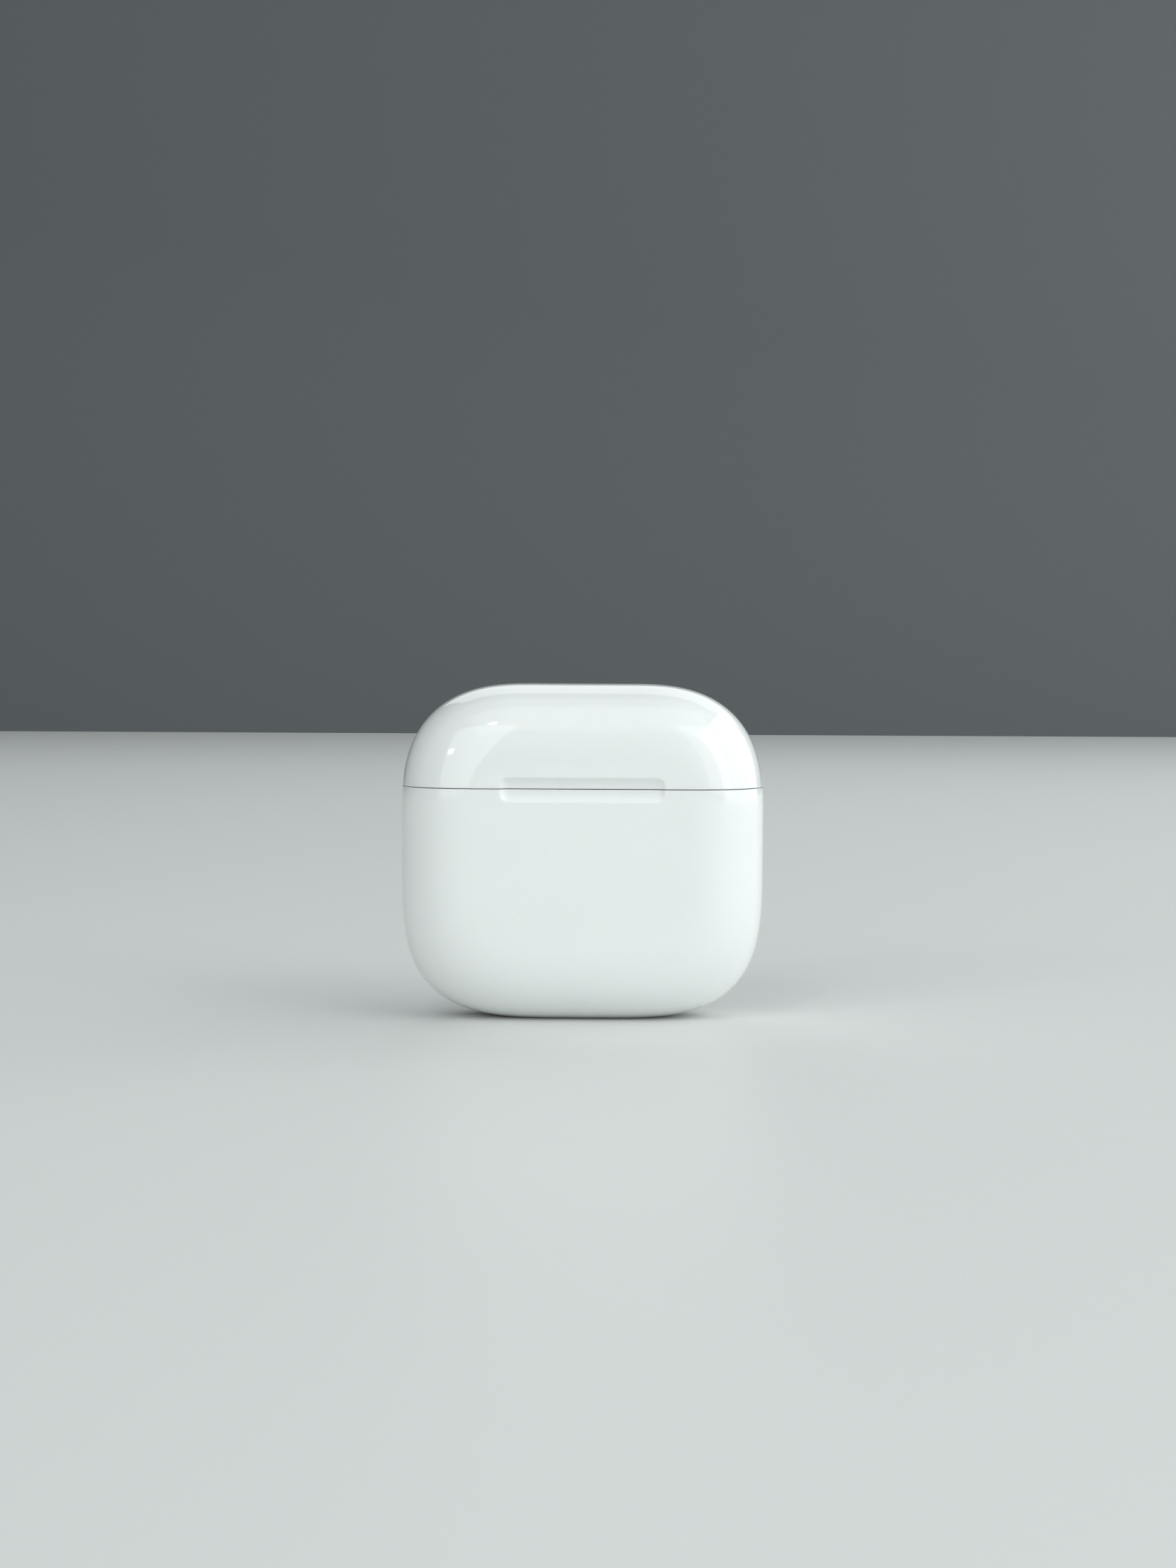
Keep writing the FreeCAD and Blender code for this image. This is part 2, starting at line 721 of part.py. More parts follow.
def port_board():
    """The small board behind the receptacle."""
    width, depth, thickness = port_board_size
    return rounded_slab(width, depth, 0.6, port_board_floor, port_board_floor + thickness)


def port_flex():
    """The ribbon from the port's board up the front of the main board."""
    z0 = port_board_floor + port_board_size[2] + touch_gap
    sheet = 0.15
    front = board_front - touch_gap - sheet
    ribbon = box(-2.5, 2.5, front, -port_board_size[1] / 2 + 0.8, z0, z0 + sheet)
    turn_up = box(-2.5, 2.5, front, front + sheet, z0, board_floor + 1.6)
    return fused([ribbon, turn_up])


def port_bracket():
    """The steel saddle that holds the receptacle down on the shell's bosses."""
    sheet = bracket_sheet
    side = port_width / 2 + fit_gap
    top = port_board_floor + port_board_size[2] + 0.25
    ear_z = bracket_ear_height
    depth = 1.5
    parts = [box(-side - sheet, side + sheet, -depth, depth, top, top + sheet)]
    for x0, x1, e0, e1 in ((side, side + sheet, side, bracket_ear_end),
                           (-side - sheet, -side, -bracket_ear_end, -side)):
        parts.append(box(x0, x1, -depth, depth, ear_z, top))
        parts.append(box(e0, e1, -depth, depth, ear_z, ear_z + sheet))
    bracket = fused(parts)
    for x in (-bracket_screw_centre, bracket_screw_centre):
        bracket = bracket.cut(rod(screw_radius + screw_gap, (x, 0, ear_z - 1), (x, 0, ear_z + 1)))
    return bracket


def bracket_screws():
    """The two screws that hold the bracket."""
    top = bracket_ear_height + bracket_sheet + touch_gap
    return group([screw((x, 0, top), (0, 0, -1), bracket_screw_length)
                  for x in (-bracket_screw_centre, bracket_screw_centre)])


# ================================================================ battery
def battery_cell(side):
    """One of the two cells, under the outer end of a well."""
    outer_face = cell_inner_face + cell_width
    cell = box(cell_inner_face, outer_face, -cell_depth / 2, cell_depth / 2,
               cell_floor, cell_floor + cell_height)
    cell = cell.makeFillet(cell_edge, cell.Edges)
    return cell if side > 0 else cell.mirror(Vector(0, 0, 0), ALONG_X)


def battery_tabs():
    """The leads from the cells to the main board."""
    z0 = cell_floor + cell_height * 0.55
    z1 = z0 + 1.6
    sheet = 0.15
    front = board_front - touch_gap
    strap = box(board_width / 2 - 1.8, cell_inner_face + 1.6, front - sheet, front, z0, z1)
    foot = box(cell_inner_face + 1.0, cell_inner_face + 2.6, front - sheet,
               -cell_depth / 2 - touch_gap, z0, z1)
    return group(both_sides(fused([strap, foot])))


def battery_foam():
    """Foam pads behind the cells."""
    y0 = cell_depth / 2 + touch_gap
    pad = box(cell_inner_face + 0.8, cell_inner_face + cell_width - 0.8, y0, y0 + foam_thickness,
              cell_floor + 1.5, cell_floor + cell_height - 1.5)
    return group(both_sides(pad))


# ================================================================ main board
def main_board():
    """The main board, upright in front of the stem bores, with a tongue up to the deck."""
    body = box(-board_width / 2, board_width / 2, board_front, board_back,
               board_floor, board_floor + board_height)
    tongue = box(-board_tongue_width / 2, board_tongue_width / 2, board_front, board_back,
                 board_floor, board_tongue_top)
    board = fused([body, tongue])
    hole = rod(screw_radius + screw_gap, (0, board_front - 1, board_screw_height),
               (0, board_back + 1, board_screw_height))
    return board.cut(hole)


def board_chips():
    """The larger components on the front of the board: middle, height, width, height, thickness."""
    face = board_front - touch_gap
    places = [
        (-5.7, 16.6, 3.6, 3.6, 0.7), (-1.6, 18.6, 1.0, 1.6, 0.5), (0.2, 18.6, 1.0, 1.6, 0.5),
        (2.0, 18.6, 1.0, 1.6, 0.5), (4.6, 18.8, 2.4, 2.4, 1.0), (8.4, 18.4, 2.2, 3.0, 0.6),
        (4.4, 13.6, 1.2, 0.8, 0.45), (6.4, 13.6, 1.2, 0.8, 0.45), (8.4, 13.6, 1.2, 0.8, 0.45),
    ]
    return group([box(x - w / 2, x + w / 2, face - t, face, z - h / 2, z + h / 2)
                  for x, z, w, h, t in places])


def board_shield():
    """The pressed can over the radio."""
    x, z, side, sheet = -5.7, 16.6, 6.2, 0.15
    face = board_front - touch_gap
    top = face - shield_height
    can = box(x - side / 2, x + side / 2, top, face, z - side / 2, z + side / 2)
    room = box(x - side / 2 + sheet, x + side / 2 - sheet, top + sheet, face + 1,
               z - side / 2 + sheet, z + side / 2 - sheet)
    return can.cut(room)


def board_screw():
    """The screw that holds the board's tongue to the frame."""
    return screw((0, board_front - touch_gap, board_screw_height), (0, 1, 0), board_screw_length)


def status_led():
    """The status lamp on the board's tongue."""
    width, depth, height = led_size
    y1 = board_front - touch_gap
    return box(-width / 2, width / 2, y1 - depth, y1, led_height - height / 2, led_height + height / 2)


def light_guide():
    """The clear rod that carries the lamp's light to the front wall, which it shines through."""
    start = board_front - 2 * touch_gap - led_size[1]
    return rod(light_guide_radius, (0, start, led_height), (0, -inner_depth + glue_gap, led_height))


def lid_sensor():
    """The chip that senses the lid's magnet."""
    width, depth, height = sensor_size
    y1 = board_front - touch_gap
    z1 = board_tongue_top - 0.1
    return box(-width / 2, width / 2, y1 - depth, y1, z1 - height, z1)


# ================================================================ wireless charging
def charging_coil():
    """The flat receiving coil behind the back wall, as its turns of flat wire."""
    y0 = inner_depth - coil_wall_gap
    pitch = (coil_outer_radius - coil_inner_radius) / coil_turns
    turns = []
    for i in range(coil_turns):
        outer = coil_outer_radius - i * pitch
        turns.append(tube(outer, outer - coil_strand, (0, y0 - coil_strand, coil_height),
                          (0, y0, coil_height)))
    return group(turns)


def ferrite_sheet():
    """The ferrite that shields the cells and boards from the coil."""
    y1 = inner_depth - coil_wall_gap - coil_strand - touch_gap
    half = ferrite_side / 2
    sheet = box(-half, half, y1 - ferrite_thickness, y1, coil_height - half, coil_height + half)
    corners = [e for e in sheet.Edges if abs(e.tangentAt(e.FirstParameter).y) > 0.99]
    return sheet.makeFillet(1.5, corners)


# ================================================================ nodes
left, right = contact_places(-1), contact_places(1)
nodes = {
    "body_shell": body_shell(),
    "inner_frame": inner_frame(),
    "lid_shell": lid_shell(),
    "lid_liner": lid_liner(),
    "hinge_body_leaf": hinge_leaf(-1, False),
    "hinge_lid_leaf": hinge_leaf(1, True),
    "hinge_pin": hinge_pin(),
    "hinge_spring": hinge_spring(),
    "body_leaf_screws": leaf_screws(-1),
    "lid_leaf_screws": leaf_screws(1),
    "frame_magnets": frame_magnets(),
    "lid_magnets": lid_magnets(),
    "bud_magnets": bud_magnets(),
    "sensor_magnet": sensor_magnet(),
    "contact_board": contact_board(),
    "contact_flex": contact_flex(),
    "contact_barrels": group([contact_barrel(x) for x in left + right]),
    "contact_pin_left_outer": contact_pin(left[0]),
    "contact_pin_left_inner": contact_pin(left[1]),
    "contact_pin_right_inner": contact_pin(right[0]),
    "contact_pin_right_outer": contact_pin(right[1]),
    "contact_spring_left_outer": contact_spring(left[0]),
    "contact_spring_left_inner": contact_spring(left[1]),
    "contact_spring_right_inner": contact_spring(right[0]),
    "contact_spring_right_outer": contact_spring(right[1]),
    "port_shell": port_shell(),
    "port_tongue": port_tongue(),
    "port_contacts": port_contacts(),
    "port_gasket": port_gasket(),
    "port_board": port_board(),
    "port_flex": port_flex(),
    "port_bracket": port_bracket(),
    "bracket_screws": bracket_screws(),
    "battery_cell_left": battery_cell(-1),
    "battery_cell_right": battery_cell(1),
    "battery_tabs": battery_tabs(),
    "battery_foam": battery_foam(),
    "main_board": main_board(),
    "board_chips": board_chips(),
    "board_shield": board_shield(),
    "board_screw": board_screw(),
    "status_led": status_led(),
    "light_guide": light_guide(),
    "lid_sensor": lid_sensor(),
    "charging_coil": charging_coil(),
    "ferrite_sheet": ferrite_sheet(),
}

os.makedirs("parts", exist_ok=True)
for name, shape in nodes.items():
    shape.exportStep("parts/" + name + ".step")
    print(name, len(shape.Solids), round(shape.Volume, 2), shape.isValid())
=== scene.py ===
"""Wireless earbuds case: the looks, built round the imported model.

Laid out as a Blender add-on. Every new piece is a surface worked out with numpy from the sizes in
the property groups, in metres, with the case standing on the origin, +Z up and its front at -Y.
"""
import json
import math

import bmesh
import bpy
import numpy as np
from bpy.props import FloatProperty, FloatVectorProperty, PointerProperty
from bpy.types import Operator, Panel, PropertyGroup
from mathutils import Matrix, Vector


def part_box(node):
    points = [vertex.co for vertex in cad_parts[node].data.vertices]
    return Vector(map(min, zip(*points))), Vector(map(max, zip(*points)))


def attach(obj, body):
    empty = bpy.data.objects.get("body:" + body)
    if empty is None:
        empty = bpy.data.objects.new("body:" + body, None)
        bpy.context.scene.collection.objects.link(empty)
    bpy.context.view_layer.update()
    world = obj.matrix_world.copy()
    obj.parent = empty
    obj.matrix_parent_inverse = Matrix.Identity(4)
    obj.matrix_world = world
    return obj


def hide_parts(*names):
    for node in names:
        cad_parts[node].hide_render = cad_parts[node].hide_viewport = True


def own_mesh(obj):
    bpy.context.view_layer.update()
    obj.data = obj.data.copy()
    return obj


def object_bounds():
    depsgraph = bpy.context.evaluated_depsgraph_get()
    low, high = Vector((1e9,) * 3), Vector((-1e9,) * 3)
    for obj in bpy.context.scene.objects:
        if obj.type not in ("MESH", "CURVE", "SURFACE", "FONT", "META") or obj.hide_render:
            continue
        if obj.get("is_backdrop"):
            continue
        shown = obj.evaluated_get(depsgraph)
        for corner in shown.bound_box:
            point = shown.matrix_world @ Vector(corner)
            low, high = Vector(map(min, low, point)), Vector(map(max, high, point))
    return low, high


bl_info = {
    "name": "Earbuds case",
    "version": (1, 0, 0),
    "blender": (4, 5, 0),
    "location": "3D View > Sidebar > Earbuds case",
    "description": "Glossy pebble-shaped charging case with a hinged lid and two earbud wells",
    "category": "Add Mesh",
}

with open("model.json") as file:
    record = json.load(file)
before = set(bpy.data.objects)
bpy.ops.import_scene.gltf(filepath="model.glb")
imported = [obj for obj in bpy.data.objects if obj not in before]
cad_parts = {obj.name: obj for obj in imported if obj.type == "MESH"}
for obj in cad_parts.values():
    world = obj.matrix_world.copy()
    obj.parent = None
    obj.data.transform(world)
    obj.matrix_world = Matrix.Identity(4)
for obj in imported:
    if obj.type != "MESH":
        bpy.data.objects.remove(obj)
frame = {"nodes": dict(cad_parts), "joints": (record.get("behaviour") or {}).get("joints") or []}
CAD_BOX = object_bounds()
NODES = frame["nodes"]
MM = 0.001
QUARTER = math.pi / 2
WELD = 1e-8
LINING_WELD = 1e-7

# Rows and columns of the shells. The first rows, next to the rim, are closely spaced, and cover the
# finger notch.
ROLL_STEPS = 56
CORNER_STEPS = 40
FACE_COLUMNS = 160
FINE_ROWS = 18
FINE_SPAN = 1.8 * MM
COARSE_ROWS = 10
ROUND_STEPS = 4

# Rows and columns of the linings.
SIDE_STEPS = 48
WELL_ROWS = 44
BORE_ROWS = 8
FRONT_POINTS = 17
BACK_POINTS = 7
STEP_POINTS = 4
POCKET_POINTS = 15
MIDDLE_POINTS = 25

# Head end of a well, from the deck down, and the hollow over it, from the liner's rim up:
# depth, centre, half width and half depth, in millimetres.
WELL_SECTIONS = (
    (0.0, 12.0, 9.0, 7.4),
    (3.0, 11.9, 8.7, 7.2),
    (5.5, 11.0, 7.5, 6.4),
    (7.5, 9.6, 5.8, 5.1),
    (9.5, 8.1, 4.4, 4.15),
    (11.5, 7.3, 3.7, 3.7),
)
DOME_SECTIONS = (
    (0.0, 12.0, 9.0, 7.4),
    (3.0, 11.9, 8.8, 7.25),
    (6.0, 11.8, 7.8, 6.5),
    (8.4, 11.6, 5.9, 5.1),
    (9.8, 11.5, 3.2, 2.8),
)


def length(name, description, millimetres):
    """A length property, shown in the scene's units."""
    return FloatProperty(
        name=name, description=description, default=millimetres * MM, unit="LENGTH", precision=5
    )


def number(name, description, value):
    """A plain number property."""
    return FloatProperty(name=name, description=description, default=value, precision=3)


def colour(name, description, value):
    """A colour property."""
    return FloatVectorProperty(
        name=name, description=description, default=value, subtype="COLOR", min=0, max=1
    )


class ShellSizes(PropertyGroup):
    """Sizes of the two glossy shells."""

    width: length("Width", "Overall width of the case", 50.1)
    height: length("Height", "Overall height of the case", 46.2)
    depth: length("Depth", "Overall depth of the shells", 21.2)
    foot_cut: length("Foot cut", "How much of the rounded base the flat foot trims", 0.3)
    seam_height: length("Seam height", "Top of the body's rim", 32.0)
    seam_gap: length("Seam gap", "Open line between the two rims", 0.18)
    wall: length("Wall", "Thickness of the shells", 1.2)
    rim_round: length("Rim round", "Radius on the edges of the rims", 0.05)
    rim_reach: length("Rim reach", "How far each finished rim stands into the seam at the front", 0.035)
    crown_width: length("Crown corner width", "Width of the lid's rounded corners", 17.9)
    crown_height: length("Crown corner height", "Height of the lid's rounded corners", 17.8)
    crown_power: number("Crown power", "Superellipse power of the lid's corners", 2.6)
    base_width: length("Base corner width", "Width of the base's rounded corners", 24.0)
    base_height: length("Base corner height", "Height of the base's rounded corners", 21.8)
    base_power: number("Base power", "Superellipse power of the base's corners", 3.4)
    roll_width: length("Roll width", "How far the faces roll in from the outline", 11.0)
    roll_power: number("Roll power", "Superellipse power of the roll", 2.35)
    hinge_inset: length("Hinge inset", "Hinge axis to the back face", 0.75)
    lid_travel: FloatProperty(
        name="Lid travel", description="Shut to fully open", default=math.radians(100), subtype="ANGLE"
    )
    relief_gap: length("Relief gap", "Lid to the dip in the body's back rim", 0.08)


class NotchSizes(PropertyGroup):
    """Sizes of the finger notch, the hinge's window and the port's hole."""

    length: length("Notch length", "Length of the finger notch", 22.4)
    height: length("Notch height", "Height of the finger notch", 3.35)
    depth: length("Notch depth", "Depth of the finger notch", 0.6)
    drop: length("Notch drop", "Middle of the notch below the middle of the seam", 0.1)
    rim: length("Notch rim", "Softness of the notch's rim", 0.03)
    corner_power: number("Corner power", "Superellipse power of the notch's ends", 3.2)
    window_half: length("Window half length", "Half the length of the hinge's window", 10.08)
    window_reach: length("Window reach", "Hinge axis to the window's far edge", 2.68)
    window_corner: length("Window corner", "Radius in the window's corners", 0.98)
    window_front: length("Window front", "How far in the window reaches", 8.25)
    port_width: length("Port hole width", "Width of the port's hole", 9.1)
    port_depth: length("Port hole depth", "Depth of the port's hole, front to back", 3.42)


class LiningSizes(PropertyGroup):
    """Sizes of the inner frame and the lid's liner."""

    deck_drop: length("Deck drop", "Body's rim down to the deck", 0.3)
    liner_recess: length("Liner recess", "Lid's rim up to the liner", 0.12)
    plate: length("Plate thickness", "Thickness of the deck and the liner's plate", 1.0)
    skirt: length("Skirt", "Thickness of the skirt", 0.9)
    skirt_depth: length("Skirt depth", "Depth of the skirt", 5.0)
    glue_gap: length("Glue gap", "Lining to shell", 0.05)
    well_wall: length("Well wall", "Wall of the wells and hollows", 0.9)
    stem_floor: length("Stem floor", "Height of the floor of the stem bores", 11.5)
    floor_round: length("Floor round", "Radius in the corners of the bores' floors", 0.4)
    mouth_round: length("Mouth round", "Radius round the mouths", 0.45)
    edge_round: length("Edge round", "Radius on the outer edges", 0.12)
    pocket_half: length("Pocket half length", "Half the length of the hinge's pocket", 10.24)
    barrel_hole: length("Barrel hole", "Radius of the holes for the contact barrels", 0.82)


class FinishColours(PropertyGroup):
    """Colours of the finishes."""

    shell: colour("Shell", "Polished white shells", (0.85, 0.87, 0.865))
    lining: colour("Lining", "Polished white linings", (0.82, 0.84, 0.835))
    steel: colour("Stainless steel", "Hinge", (0.62, 0.62, 0.61))
    gold: colour("Gold", "Contacts", (0.83, 0.56, 0.24))
    floor: colour("Floor", "Pale floor", (0.74, 0.75, 0.74))
    wall: colour("Wall", "Plain wall far behind", (0.110, 0.119, 0.128))
    air: colour("Air", "Even light from all round", (0.88, 0.93, 0.93))


class StageSizes(PropertyGroup):
    """Camera and lights."""

    camera_distance: length("Camera distance", "Camera to the middle of the case", 379.7)
    camera_elevation: FloatProperty(
        name="Camera elevation", description="Above level", default=math.radians(3.18), subtype="ANGLE"
    )
    camera_roll: FloatProperty(
        name="Camera roll", description="About its own axis", default=math.radians(0.29), subtype="ANGLE"
    )
    lens: number("Lens", "Focal length in millimetres", 62.8)
    aim_right: length("Aim across", "Aim point to the right of the middle", 0.74)
    aim_height: length("Aim height", "Aim point above the floor", 32.25)
    wall_distance: length("Wall distance", "Case to the wall behind", 1050.0)
    light_scale: number("Light scale", "Brightness of every light", 1.0)


# ---------------------------------------------------------------- surfaces
def superellipse_edge(level, width, height, power):
    """How far a rounded corner reaches at a level: width (1 - (level / height)^power)^(1 / power)."""
    share = np.clip(level / height, 0.0, 1.0)
    return width * (1.0 - share**power) ** (1.0 / power)


def superellipse_reach(turn, power):
    """Distance from the centre in direction turn: (|cos|^power + |sin|^power)^(-1 / power)."""
    return (np.abs(np.cos(turn)) ** power + np.abs(np.sin(turn)) ** power) ** (-1.0 / power)


def roll_of(sizes, grow, steps):
    """The roll from the front face round to the back, for even steps of direction: the depth y, and
    how far the outline is shifted there, which is the reach's share of the roll's width."""
    turn = np.linspace(-QUARTER, QUARTER, steps + 1)
    reach = superellipse_reach(turn, sizes.roll_power)
    y = (sizes.depth / 2 + grow) * reach * np.sin(turn)
    shift = grow - (sizes.roll_width + grow) * (1.0 - reach * np.cos(turn))
    return y, shift


def rim_dip(sizes, x, y):
    """Depth of the dip in the body's back rim at x: how far the back face stands behind the hinge
    axis there, times the tangent of half the lid's travel, plus the gap; nothing at the front."""
    flat = sizes.width / 2 - sizes.roll_width
    outer = superellipse_edge(np.abs(x) - flat, sizes.depth / 2, sizes.roll_width, sizes.roll_power)
    behind = outer - (sizes.depth / 2 - sizes.hinge_inset)
    dip = behind * math.tan(sizes.lid_travel / 2) + sizes.relief_gap
    return np.where(y > 0, np.maximum(dip, 0.0), 0.0)


def notch_depth_at(notch, x, height):
    """Depth of the finger notch: a long round-ended bar sunk into the face, so the depth is
    sqrt(R^2 - across^2) - (R - depth), with across the distance from the bar's middle line; past
    its ends that is (up^power + along^power)^(1 / power), which squares the corners. Its rim is
    softened by taking the smooth maximum with nothing, (d + sqrt(d^2 + rim^2)) / 2."""
    radius = ((notch.height / 2) ** 2 + notch.depth**2) / (2 * notch.depth)
    beyond = np.maximum(np.abs(x) - (notch.length - notch.height) / 2, 0.0)
    power = notch.corner_power
    across = (np.abs(height) ** power + beyond**power) ** (2 / power)
    within_bar = np.minimum(across, 0.98 * radius**2)
    plain = np.sqrt(radius**2 - within_bar) - (radius - notch.depth)
    soft = (plain + np.sqrt(plain**2 + notch.rim**2)) / 2
    clear_of_rim = plain < -8 * notch.rim
    return np.where(clear_of_rim, 0.0, soft)


def side_line(sizes, base, shift, rim):
    """One side of the outline, from the rim to the straight run at the crown or the base, for every
    step of the roll: closely spaced levels near the rim, wider ones below, then the corner by angle,
    centre + size * reach * (cos, sin)."""
    crown_level = sizes.height - sizes.crown_height
    crown_wide = sizes.crown_width + shift
    crown_high = sizes.crown_height + shift
    crown_x = sizes.width / 2 - sizes.crown_width
    if base:
        turn_level = sizes.base_height - sizes.foot_cut
        wide = sizes.base_width + shift
        high = sizes.base_height + shift
        power = sizes.base_power
        centre_x = sizes.width / 2 - sizes.base_width
        centre_z = turn_level
        way = -1
        fine = np.linspace(0, FINE_SPAN, FINE_ROWS)[:-1]
        coarse = np.linspace(FINE_SPAN, sizes.seam_height - sizes.rim_round - turn_level, COARSE_ROWS + 1)
        share = np.concatenate([fine, coarse])
        share = share / share[-1]
    else:
        turn_level = sizes.seam_height + sizes.seam_gap + 2 * MM
        wide, high = crown_wide, crown_high
        power = sizes.crown_power
        centre_x = crown_x
        centre_z = crown_level
        way = 1
        share = np.linspace(0, 1, FINE_ROWS + 3)
    levels = rim[:, None] + (turn_level - rim)[:, None] * share[None, :]
    over = np.maximum(levels - crown_level, 0.0)
    side_x = crown_x + superellipse_edge(over, crown_wide[:, None], crown_high[:, None], sizes.crown_power)
    start_y = np.clip((turn_level - centre_z) * way / high, 0, 1)
    start = np.arctan2(start_y, (1 - start_y**power) ** (1 / power))
    turn = start[:, None] + (QUARTER - start)[:, None] * np.linspace(0, 1, CORNER_STEPS + 1)[None, 1:]
    reach = superellipse_reach(turn, power)
    corner_x = centre_x + wide[:, None] * reach * np.cos(turn)
    corner_z = centre_z + way * high[:, None] * reach * np.sin(turn)
    return np.hstack([side_x, corner_x]), np.hstack([levels, corner_z])


def clean(mesh, weld, degenerate=False, outwards=True):
    """Merges a mesh's doubles, takes out its slivers if asked, and turns its faces outwards."""
    shape = bmesh.new()
    shape.from_mesh(mesh)
    bmesh.ops.remove_doubles(shape, verts=shape.verts, dist=weld)
    if degenerate:
        bmesh.ops.dissolve_degenerate(shape, edges=shape.edges, dist=weld)
    if outwards:
        bmesh.ops.recalc_face_normals(shape, faces=shape.faces)
    shape.to_mesh(mesh)
    shape.free()
    return mesh


class Sheet:
    """Points and four-cornered faces collected for one mesh."""

    def __init__(self):
        self.points = np.zeros((0, 3))
        self.quads = []

    def add(self, points):
        """Adds an array of points, any shape by 3, and returns their numbers in that shape."""
        first = len(self.points)
        self.points = np.vstack([self.points, points.reshape(-1, 3)])
        return np.arange(first, len(self.points)).reshape(points.shape[:-1])

    def grid(self, numbers, keep=None):
        """Faces between neighbouring rows and columns of a grid of point numbers."""
        quads = np.stack([numbers[:-1, :-1], numbers[:-1, 1:], numbers[1:, 1:], numbers[1:, :-1]], axis=-1)
        quads = quads if keep is None else quads[keep]
        self.quads.append(quads.reshape(-1, 4))

    def mesh(self, name, weld=WELD):
        """The mesh of the points in use, with doubles and slivers merged and faces outwards."""
        quads = np.vstack(self.quads)
        used, flat = np.unique(quads, return_inverse=True)
        mesh = bpy.data.meshes.new(name)
        mesh.from_pydata(self.points[used].tolist(), [], flat.reshape(-1, 4).tolist())
        return clean(mesh, weld, degenerate=True)


def skin(sheet, sizes, base, grow, notch=None):
    """One skin of a half shell: the roll as a grid of outlines by depth, closed at the front and the
    back by flat faces whose columns run from side to side. From the middle of the depth to the front
    the rim stands further and further into the seam. Returns its rim as a loop of numbers."""
    y, shift = roll_of(sizes, grow, ROLL_STEPS)
    reach = sizes.rim_reach * np.clip(-4 * y / sizes.depth, 0.0, 1.0)
    if base:
        rim = sizes.seam_height + reach - sizes.rim_round - rim_dip(sizes, sizes.width / 2 + shift, y)
    else:
        rim = sizes.seam_height + sizes.seam_gap - reach + sizes.rim_round
    x, z = side_line(sizes, base, shift, rim)
    run_end = x[:, -1:]
    across = np.linspace(-1, 1, FACE_COLUMNS + 1)
    run_x = run_end * across[None, 1:-1]
    run_z = np.repeat(z[:, -1:], FACE_COLUMNS - 1, axis=1)
    all_x = np.hstack([-x, run_x, x[:, ::-1]])
    all_z = np.hstack([z, run_z, z[:, ::-1]])
    if grow == 0:
        all_z = np.maximum(all_z, 0.0)
    roll = sheet.add(np.stack([all_x, np.repeat(y[:, None], all_x.shape[1], axis=1), all_z], axis=-1))
    sheet.grid(roll)
    rows = x.shape[1]
    faces = []
    for step in (0, -1):
        face_x = x[step][:, None] * across[None, :]
        face_z = np.repeat(z[step][:, None], FACE_COLUMNS + 1, axis=1)
        face_y = np.full_like(face_x, y[step])
        if notch is not None and step == 0:
            middle = sizes.seam_height + sizes.seam_gap / 2 - notch.drop
            face_y = face_y + notch_depth_at(notch, face_x, face_z - middle)
        face = sheet.add(np.stack([face_x, face_y, face_z], axis=-1))
        face[:, 0] = roll[step, :rows]
        face[:, -1] = roll[step, ::-1][:rows]
        face[-1, :] = roll[step, rows - 1 : rows + FACE_COLUMNS]
        sheet.grid(face)
        faces.append(face)
    front, back = faces
    return np.concatenate([front[0, :], roll[1:, -1], back[0, -2::-1], roll[-2:0:-1, 0]])


def rim_strip(sheet, outer, inner, radius, way):
    """The rim between two loops: a quarter round at each edge and the flat between. Each point is
    the loop's point plus inward radius (1 - cos) and along the rim's direction radius sin."""
    start, end = sheet.points[outer], sheet.points[inner]
    inward = end - start
    inward[:, 2] = 0
    inward /= np.linalg.norm(inward, axis=1)[:, None]
    up = np.array([0.0, 0.0, way])
    turns = np.linspace(0, QUARTER, ROUND_STEPS + 1)[1:]
    rows = [outer]
    for turn in turns:
        rows.append(sheet.add(start + inward * radius * (1 - math.cos(turn)) + up * radius * math.sin(turn)))
    for turn in turns[::-1]:
        rows.append(sheet.add(end - inward * radius * (1 - math.cos(turn)) + up * radius * math.sin(turn)))
    rows.append(inner)
    strip = np.array(rows)
    sheet.grid(np.hstack([strip, strip[:, :1]]))


def half_shell(name, sizes, notch, base):
    """A closed half shell: outer skin, inner skin and the rim between them."""
    sheet = Sheet()
    outer = skin(sheet, sizes, base, 0.0, notch)
    inner = skin(sheet, sizes, base, -sizes.wall)
    rim_strip(sheet, outer, inner, sizes.rim_round, 1.0 if base else -1.0)
    return sheet.mesh(name)


def rounded_ring(half_x, half_z, corner, steps):
    """A rounded rectangle as a closed loop of points: each corner's centre plus the radius times
    (cos, sin)."""
    turns = np.linspace(0, QUARTER, steps + 1)
    points = []
    for quarter, (side_x, side_z) in enumerate(((1, 1), (-1, 1), (-1, -1), (1, -1))):
        turn = turns + quarter * QUARTER
        centre = np.array([side_x * (half_x - corner), side_z * (half_z - corner)])
        points.append(centre + corner * np.stack([np.cos(turn), np.sin(turn)], axis=-1))
    return np.vstack(points)


def prism(name, ring, place, start, end):
    """A cutter: the ring carried from start to end. place turns ring points and a distance into
    points of the case."""
    count = len(ring)
    points = np.vstack([place(ring, start), place(ring, end)])
    around = np.arange(count)
    following = (around + 1) % count
    sides = np.stack([around, following, following + count, around + count], axis=-1).tolist()
    mesh = bpy.data.meshes.new(name)
    mesh.from_pydata(points.tolist(), [], sides + [around[::-1].tolist(), (around + count).tolist()])
    return clean(mesh, WELD)


